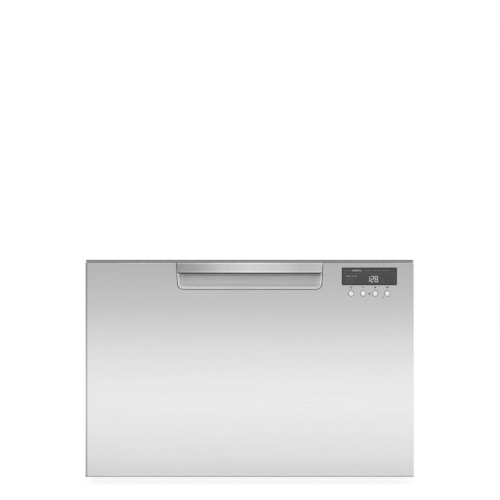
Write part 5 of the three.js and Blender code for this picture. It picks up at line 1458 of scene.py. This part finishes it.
def clips():
    shape = bmesh.new()
    for row in ROWS:
        low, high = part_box(row)
        y, z = (low.y + high.y) / 2, low.z + RACK_WIRE
        foot = FLOOR_Z - 1 * MM
        outline = [
            (y + 13 * MM, foot),
            (y + 13 * MM, foot + 7 * MM),
            (y + 9 * MM, z + 1 * MM),
            *arc(y, z, 6 * MM, 25, 180, 14),
            (y - 6 * MM, foot + 1 * MM),
            (y - 5 * MM, foot),
        ]
        for side in (-1, 1):
            ends = sorted(side * (ROW_CLIP_X + reach) for reach in (0, CLIP_WIDTH))
            prism(shape, [outline, circle(y, z, EYE)], *ends, ALONG_X)
    axle_x, axle_z = axle_high.x - RACK_WIRE, axle_low.z + RACK_WIRE
    outline = [
        (RIM_X - 1 * MM, axle_z - 6.5 * MM),
        (RIM_X - 1 * MM, axle_z + 6.5 * MM),
        (axle_x, axle_z + 5.2 * MM),
        *arc(axle_x, axle_z, 5.2 * MM, 110, 250, 14),
        (axle_x, axle_z - 5.2 * MM),
    ]
    for sx in (-1, 1):
        loops = [[(sx * u, v) for u, v in loop] for loop in (outline, circle(axle_x, axle_z, EYE))]
        for sy in (-1, 1):
            ends = sorted(sy * (SHELF_CLIP_Y + reach) for reach in (-7 * MM, 11 * MM))
            prism(shape, loops, *ends, ALONG_Y)
    return shape


clip_shape = clips()
bmesh.ops.recalc_face_normals(clip_shape, faces=clip_shape.faces)
soften(clip_shape, 0.5 * MM)
show("rack_clips", clip_shape, "drawer", "coated_wire", grey_plastic)
print("eight clips")

# %% [markdown]
# The detergent dispenser is pushed through a flat hole in the tub's front wall, and a rubber
# gasket round it keeps the water in. It is a flat ring against the wall. The wall leans outwards
# a little towards the top, as a moulding has to, so the ring is sheared by the same lean.

# %% Gasket of the dispenser
DISPENSER_HALF = (75 * MM, 30 * MM)
DISPENSER_CORNER = 8 * MM
DISPENSER_PROUD = 5.8 * MM  # tub wall to the back of the sliding door
GASKET_RIM = 3.4 * MM
GASKET_STEP = 1 * MM
WALL_LEAN = 6 / 280  # the tub's wall leans out by this much of its height


def dispenser_gasket():
    low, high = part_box("detergent_dispenser")
    x, z = (low.x + high.x) / 2, (low.z + high.z) / 2
    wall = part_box("dispenser_door")[0].y - DISPENSER_PROUD
    half_x, half_z = DISPENSER_HALF
    loops = []
    for margin in (GASKET_RIM, 0.2 * MM):
        wide, tall = half_x + margin, half_z + margin
        loops.append(round_box(x - wide, x + wide, z - tall, z + tall, DISPENSER_CORNER))
    shape = bmesh.new()
    prism(shape, loops, wall - 0.2 * MM, wall + GASKET_STEP, ALONG_Y)
    for vert in shape.verts:
        vert.co.y -= WALL_LEAN * (vert.co.z - z)
    return shape


show("dispenser_gasket", dispenser_gasket(), "drawer", "rubber", black_rubber)
print("dispenser sealed")

# %% [markdown]
# ## Folding rows and cup shelves
# A folding row is an axle with eleven tines. A cup shelf is a bent frame with slats across it, on
# an axle along the rack's rim. Each is a piece of its own on its own body, so it swings.

# %% Folding rows and cup shelves
SHELF_BEND = 15 * MM
SHELF_SLATS = (-90, -30, 30, 90)


def tine_row(row):
    low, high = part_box(row)
    y, z = (low.y + high.y) / 2, low.z + RACK_WIRE
    shape = bmesh.new()
    tube(shape, [(low.x, y, z), (high.x, y, z)], RACK_WIRE)
    for i in range(FOLDING_TINES):
        x = (i - (FOLDING_TINES - 1) / 2) * TINE_STEP
        tube(shape, [(x, y, z), (x, y, high.z)], RACK_WIRE)
    return shape


def cup_shelf(shelf, side):
    low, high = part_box(shelf)
    x0 = side * (max(abs(low.x), abs(high.x)) - RACK_WIRE)
    x1 = side * (min(abs(low.x), abs(high.x)) + RACK_WIRE + 1 * MM)
    y, z = high.y - RACK_WIRE, low.z + RACK_WIRE
    shape = bmesh.new()
    tube(shape, [(x0, low.y, z), (x0, high.y, z)], RACK_WIRE)
    tube(shape, bend([(x0, -y, z), (x1, -y, z), (x1, y, z), (x0, y, z)], SHELF_BEND), RACK_WIRE)
    slat_z = high.z - RACK_WIRE
    for place in SHELF_SLATS:
        ends = [(x0 - side * 1 * MM, place * MM, slat_z), (x1 - side * 1 * MM, place * MM, slat_z)]
        tube(shape, ends, RACK_WIRE)
    return shape


for row in ROWS:
    show(f"{row}_wires", tine_row(row), row, "coated_wire", nylon, stands_for=[row], sharp=60)
for shelf, side in (("right_cup_rack", 1), ("left_cup_rack", -1)):
    made = cup_shelf(shelf, side)
    show(f"{shelf}_wires", made, shelf, "coated_wire", nylon, stands_for=[shelf], sharp=60)
print("two rows and two shelves")

# %% [markdown]
# ## Spray arm
# The arm is a hollow blade that tapers from its hub to round tips, with a flat crowned section. It
# is lofted along its length: the outline gives each ring's width, and a squashed circle gives its
# section. The hub is turned, with a bore for the pin below it. Slots in raised lips throw the
# water up; each is offset from the middle line, and that push is what spins the arm. A near-black
# plate in each lip paints the shadow down in the slot.

# %% Build the spray arm
arm_low, arm_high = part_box("spray_arm")
ARM_TIP = 12 * MM
ARM_ROOT = (22 * MM, 19 * MM)  # the hub's radius, and half the blade's width there
BLADE = (arm_low.z + 3 * MM, arm_low.z + 11 * MM)
BLADE_STEPS, BLADE_SIDES, TIP_STEPS = 20, 28, 8
BLADE_SQUASH = (0.45, 0.6)  # below 1 the section is fuller than a circle, across and up
JETS = (0.4, 0.62, 0.86)
JET_OFFSET = 4 * MM


def arm_half_width(x):
    centre = arm_high.x - ARM_TIP
    if x > centre:
        return math.sqrt(max(ARM_TIP**2 - (x - centre) ** 2, 1e-9))
    share = max(x - ARM_ROOT[0], 0) / (centre - ARM_ROOT[0])
    return ARM_ROOT[1] + (ARM_TIP - ARM_ROOT[1]) * share


def squashed(value, power):
    return math.copysign(abs(value) ** power, value)


def arm_blade(shape):
    body = [arm_high.x * i / BLADE_STEPS for i in range(BLADE_STEPS - 1)]
    turns = [math.pi / 2 * i / TIP_STEPS for i in range(TIP_STEPS + 1)]
    tip = [arm_high.x - ARM_TIP * (1 - math.sin(turn)) for turn in turns]
    half = body + [x for x in tip if x > body[-1] + 2 * MM]
    middle, rise = sum(BLADE) / 2, (BLADE[1] - BLADE[0]) / 2
    rings = []
    for x in [-x for x in reversed(half[1:])] + half:
        wide = arm_half_width(abs(x))
        thin = rise * min(1, 0.35 + 0.65 * wide / ARM_TIP)
        ring = []
        for k in range(BLADE_SIDES):
            turn = 2 * math.pi * k / BLADE_SIDES
            across = wide * squashed(math.cos(turn), BLADE_SQUASH[0])
            ring.append((x, across, middle + thin * squashed(math.sin(turn), BLADE_SQUASH[1])))
        rings.append(ring)
    loft(shape, rings)


def slot_line(x, y, half_long, half_wide):
    right = arc(x + half_long - half_wide, y, half_wide, -90, 90, 6)
    left = arc(x - half_long + half_wide, y, half_wide, 90, 270, 6)
    return right + left


def jet_places():
    return [(side * share * arm_high.x, side * JET_OFFSET) for share in JETS for side in (-1, 1)]


arm_shape = bmesh.new()
arm_blade(arm_shape)
hub_profile = [
    (0, 10.6), (6.4, 10.6), (6.4, 0.3), (7, 0), (20.6, 0), (22, 1.4), (22, 10.2), (20.4, 11.6),
    (15, 13.6), (13.6, 14), (0, 14),
]
turned(
    arm_shape,
    [(r * MM, z * MM) for r, z in hub_profile],
    48,
    Matrix.Translation((0, 0, arm_low.z)),
)
UPRIGHT = Matrix.Identity(4)
for x, y in jet_places():
    lip = [slot_line(x, y, 6.4 * MM, 3 * MM), slot_line(x, y, 5 * MM, 1.5 * MM)]
    prism(arm_shape, lip, BLADE[1] - 0.8 * MM, BLADE[1] + 0.9 * MM, UPRIGHT)
show("spray_arm_blade", arm_shape, "spray_arm", "grey_plastic", grey_plastic, stands_for=["spray_arm"])

# Near-black plates set down in the lips paint the shadow inside each slot.
slot_shadow_shape = bmesh.new()
for x, y in jet_places():
    slot = [slot_line(x, y, 5.1 * MM, 1.6 * MM)]
    prism(slot_shadow_shape, slot, BLADE[1] - 0.5 * MM, BLADE[1] + 0.1 * MM, UPRIGHT)
show("spray_slot_shadows", slot_shadow_shape, "spray_arm", "black_plastic", shadow_paint)
print("arm", round(2 * arm_high.x / MM, 1), "mm long,", len(jet_places()), "jets")

# %% [markdown]
# ## Filter plate
# The plate over the sump is a fine sieve, full of holes about a millimetre wide. Cutting thousands
# of holes would weigh the mesh down for something seen from half a metre, so they are painted: a
# cell pattern with no randomness is an even grid, and each cell's middle is painted dark, the
# painted shade down a hole, and sunk by a bump.

# %% Sieve finish and filter plate
SIEVE_PITCH = 2.6 * MM


def sieve():
    finish = Finish("sieve_plastic", tone(176), 0.42)
    inputs = {"Vector": finish.place(), "Scale": 1 / SIEVE_PITCH, "Randomness": 0.0}
    grid = finish.node("TexVoronoi", inputs, voronoi_dimensions="2D").outputs["Distance"]
    # Dark cell middles: painted shade down each hole.
    holes = finish.ramp(grid, [(0.25, tone(58)), (0.31, tone(178, 179, 181))])
    finish.set("Base Color", holes)
    finish.bump(finish.span(grid, 0, 1, 0.2, 0.34), 0.0003, 0.8)
    return finish


sieve_plastic = sieve()
rounded("filter_plate", 0.4 * MM, sieve_plastic)
print("sieve holes every", SIEVE_PITCH / MM, "mm")

# %% [markdown]
# ## Hose
# A corrugated hose lies in waves on the pan, and on the machine the waves open as the drawer
# slides out. It follows the same route as the imported hose: straight out of the drain outlet, down,
# along a sine wave, and up into the tub. Here the mesh is laid once and rides on no body, so it
# does not follow the drawer's travel.

# %% Helpers for the hose
def spline(points, steps):
    """A smooth curve through points that doesn't overshoot where they lie close together."""
    spots = [Vector(point) for point in points]
    spots = [2 * spots[0] - spots[1], *spots, 2 * spots[-1] - spots[-2]]
    path = []
    for i in range(1, len(spots) - 2):
        four = spots[i - 1 : i + 3]
        knots = [0.0]
        for a, b in zip(four, four[1:]):
            knots.append(knots[-1] + math.sqrt((b - a).length))
        for k in range(steps):
            t = knots[1] + (knots[2] - knots[1]) * k / steps
            shares = [(t - knots[j]) / (knots[j + 1] - knots[j]) for j in range(3)]
            three = [four[j].lerp(four[j + 1], shares[j]) for j in range(3)]
            shares = [(t - knots[j]) / (knots[j + 2] - knots[j]) for j in range(2)]
            two = [three[j].lerp(three[j + 1], shares[j]) for j in range(2)]
            path.append(two[0].lerp(two[1], (t - knots[1]) / (knots[2] - knots[1])))
    return [*path, spots[-2]]


def even_steps(path, step):
    """The same path with points at even distances."""
    spaced, spare = [path[0]], 0.0
    for a, b in zip(path, path[1:]):
        length = (b - a).length
        while spare + length >= step:
            share = (step - spare) / length
            a = a.lerp(b, share)
            length *= 1 - share
            spare = 0.0
            spaced.append(a)
        spare += length
    return spaced


print("spline helpers ready")

# %% [markdown]
# The route is a list of points, made into one smooth line and cut into steps of a quarter of a
# rib. The radius swells and shrinks along it, and stays full in the plain cuff at each end.

# %% Lay the hose
HOSE_RADIUS = 8.9 * MM
HOSE_VALLEY = 7.7 * MM
RIB_STEP = 6 * MM
HOSE_WAVES = 3.5
HOSE_SWING = 58 * MM
CUFF = 26 * MM
HOSE_SHIFT = -2.2 * MM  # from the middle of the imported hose's box to its two ends
BED_Z = 22 * MM  # the hose's middle where it lies on the pan
SERVICE_Z = 52 * MM  # the middle of the water inlet and the drain outlet
RING_STEPS = 4  # points along one rib
hose_low, hose_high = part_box("hose_link")


def hose_route():
    x = (hose_low.x + hose_high.x) / 2 + HOSE_SHIFT
    outlet = Vector((x, hose_high.y, SERVICE_Z))
    nozzle = Vector((x, hose_low.y + 8.8 * MM, hose_high.z))
    first, last = outlet.y - 62 * MM, nozzle.y + 30 * MM
    points = [outlet, (x, outlet.y - 14 * MM, outlet.z), (x, outlet.y - 36 * MM, 37 * MM)]
    waves = round(HOSE_WAVES * 8)
    for i in range(waves + 1):
        swing = HOSE_SWING * math.sin(2 * math.pi * HOSE_WAVES * i / waves)
        points.append((x + swing, first + (last - first) * i / waves, BED_Z))
    points += [(x, nozzle.y + 6 * MM, 32 * MM), (x, nozzle.y, 48 * MM), nozzle]
    return even_steps(spline(points, 12), RIB_STEP / RING_STEPS)


route = hose_route()
ribs = []
for i in range(len(route)):
    from_end = min(i, len(route) - 1 - i) * RIB_STEP / RING_STEPS
    wave = (1 - math.cos(2 * math.pi * i / RING_STEPS)) / 2
    ribs.append(HOSE_RADIUS if from_end < CUFF else HOSE_VALLEY + (HOSE_RADIUS - HOSE_VALLEY) * wave)
hose_shape = bmesh.new()
tube(hose_shape, route, ribs, 14)
hose = show(
    "ribbed_hose",
    hose_shape,
    None,
    "dark_plastic",
    dark_plastic,
    stands_for=["hose_link"],
    sharp=80,
)
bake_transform(hose)
hose_length = sum((b - a).length for a, b in zip(route, route[1:]))
print("hose", round(hose_length, 3), "m long")

# %% [markdown]
# ## Feet
# Each foot is a moulded pad on a threaded stem, so the drawer can be levelled. The thread is drawn
# as grooves on a turned profile: under the pan nobody can tell them from a true helix.

# %% Turn the feet
PAD = (18 * MM, 6 * MM)
STEM = 5 * MM
PITCH = 1.5 * MM
THREAD_DEPTH = 0.6 * MM


def foot_profile(height):
    wide, thick = PAD
    profile = [
        (0, 0.6 * MM),
        (wide - 5 * MM, 0.6 * MM),
        (wide - 4.4 * MM, 0),
        (wide - 1 * MM, 0),
        (wide, 1 * MM),
        (wide, thick - 1.4 * MM),
        (wide - 1 * MM, thick),
        (STEM + 2 * MM, thick),
        (STEM, thick + 1 * MM),
    ]
    z = thick + 2 * MM
    while z + PITCH < height - 0.5 * MM:
        profile += [(STEM, z), (STEM - THREAD_DEPTH, z + PITCH / 2)]
        z += PITCH
    return [*profile, (STEM, height - 0.8 * MM), (STEM - 1 * MM, height), (0, height)]


feet = [name for name in nodes if name.endswith("_foot")]
for foot in feet:
    low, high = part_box(foot)
    shape = bmesh.new()
    place = Matrix.Translation(((low.x + high.x) / 2, (low.y + high.y) / 2, low.z))
    turned(shape, foot_profile(high.z - low.z), 40, place)
    show(f"{foot}_turned", shape, foot, "black_plastic", black_plastic, stands_for=[foot], sharp=30)
print(len(feet), "feet")

# %% [markdown]
# ## Screws and thread
# Sheet metal is held by small domed screws with a round recess. One profile is turned and set on
# each panel where its flange or a runner is fixed. The water inlet carries a coarse pipe thread.

# %% Set the screws
SCREW = [
    (0, 0.5), (1.1, 0.5), (1.3, 1.25), (2.2, 1.15), (3.2, 0.65), (3.6, 0.1), (3.6, -0.2), (0, -0.2),
]
side_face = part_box("right_side_panel")[1].x
back_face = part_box("rear_panel")[1].y
chassis_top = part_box("right_side_panel")[1].z
runner_low, runner_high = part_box("right_outer_runner")
runner_z = (runner_low.z + runner_high.z) / 2
SIDE_LEVELS = (0.055, 0.215, 0.365)
SIDE_Y = (-0.238, 0.259)
RUNNER_SHARES = (0.08, 0.36, 0.64, 0.92)
BACK_X, BACK_LEVELS = 0.288, (0.03, 0.125, 0.29, 0.385)
BACK_TOP = (0.1, 0.392)
TOP_X, TOP_Y = 0.291, (-0.239, 0.259)


def screws(shape, places, outward):
    turn = Vector((0, 0, 1)).rotation_difference(Vector(outward)).to_matrix().to_4x4()
    for place in places:
        turned(shape, [(r * MM, z * MM) for r, z in SCREW], 20, Matrix.Translation(place) @ turn)


screw_shape = bmesh.new()
for side in (-1, 1):
    edges = [(side * side_face, y, z) for y in SIDE_Y for z in SIDE_LEVELS]
    slide = [runner_low.y + (runner_high.y - runner_low.y) * share for share in RUNNER_SHARES]
    screws(screw_shape, edges + [(side * side_face, y, runner_z) for y in slide], (side, 0, 0))
    back = [(side * BACK_X, back_face, z) for z in BACK_LEVELS]
    back.append((side * BACK_TOP[0], back_face, BACK_TOP[1]))
    screws(screw_shape, back, (0, 1, 0))
    screws(screw_shape, [(side * TOP_X, y, chassis_top) for y in TOP_Y], (0, 0, 1))
show("panel_screws", screw_shape, "chassis", "stainless", works_steel, sharp=35)
print("screws set")

# %% [markdown]
# The pipe thread is five coarse ridges on one more turned profile. As on the feet, rings look
# the same as a true helix.

# %% Thread of the water inlet
inlet_low, inlet_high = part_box("inlet_valve")
inlet_x = (inlet_low.x + inlet_high.x) / 2
THREAD_TURNS = 5
THREAD_LONG = 10.8 * MM
thread = [(9.4 * MM, 0)]
for i in range(THREAD_TURNS):
    start = 2 * i
    thread += [(9.8 * MM, (0.4 + start) * MM), (10.5 * MM, (1.2 + start) * MM)]
    thread += [(9.8 * MM, (2 + start) * MM)]
thread += [(9.4 * MM, THREAD_LONG)]
thread_shape = bmesh.new()
place = Matrix.Translation((inlet_x, inlet_high.y - THREAD_LONG - 1 * MM, SERVICE_Z)) @ TO_BACK
turned(thread_shape, [*thread, (9 * MM, THREAD_LONG), (9 * MM, 0), thread[0]], 40, place)
show("inlet_thread", thread_shape, "chassis", "white_plastic", white_plastic, sharp=30)
print("inlet thread at x", round(inlet_x, 3))
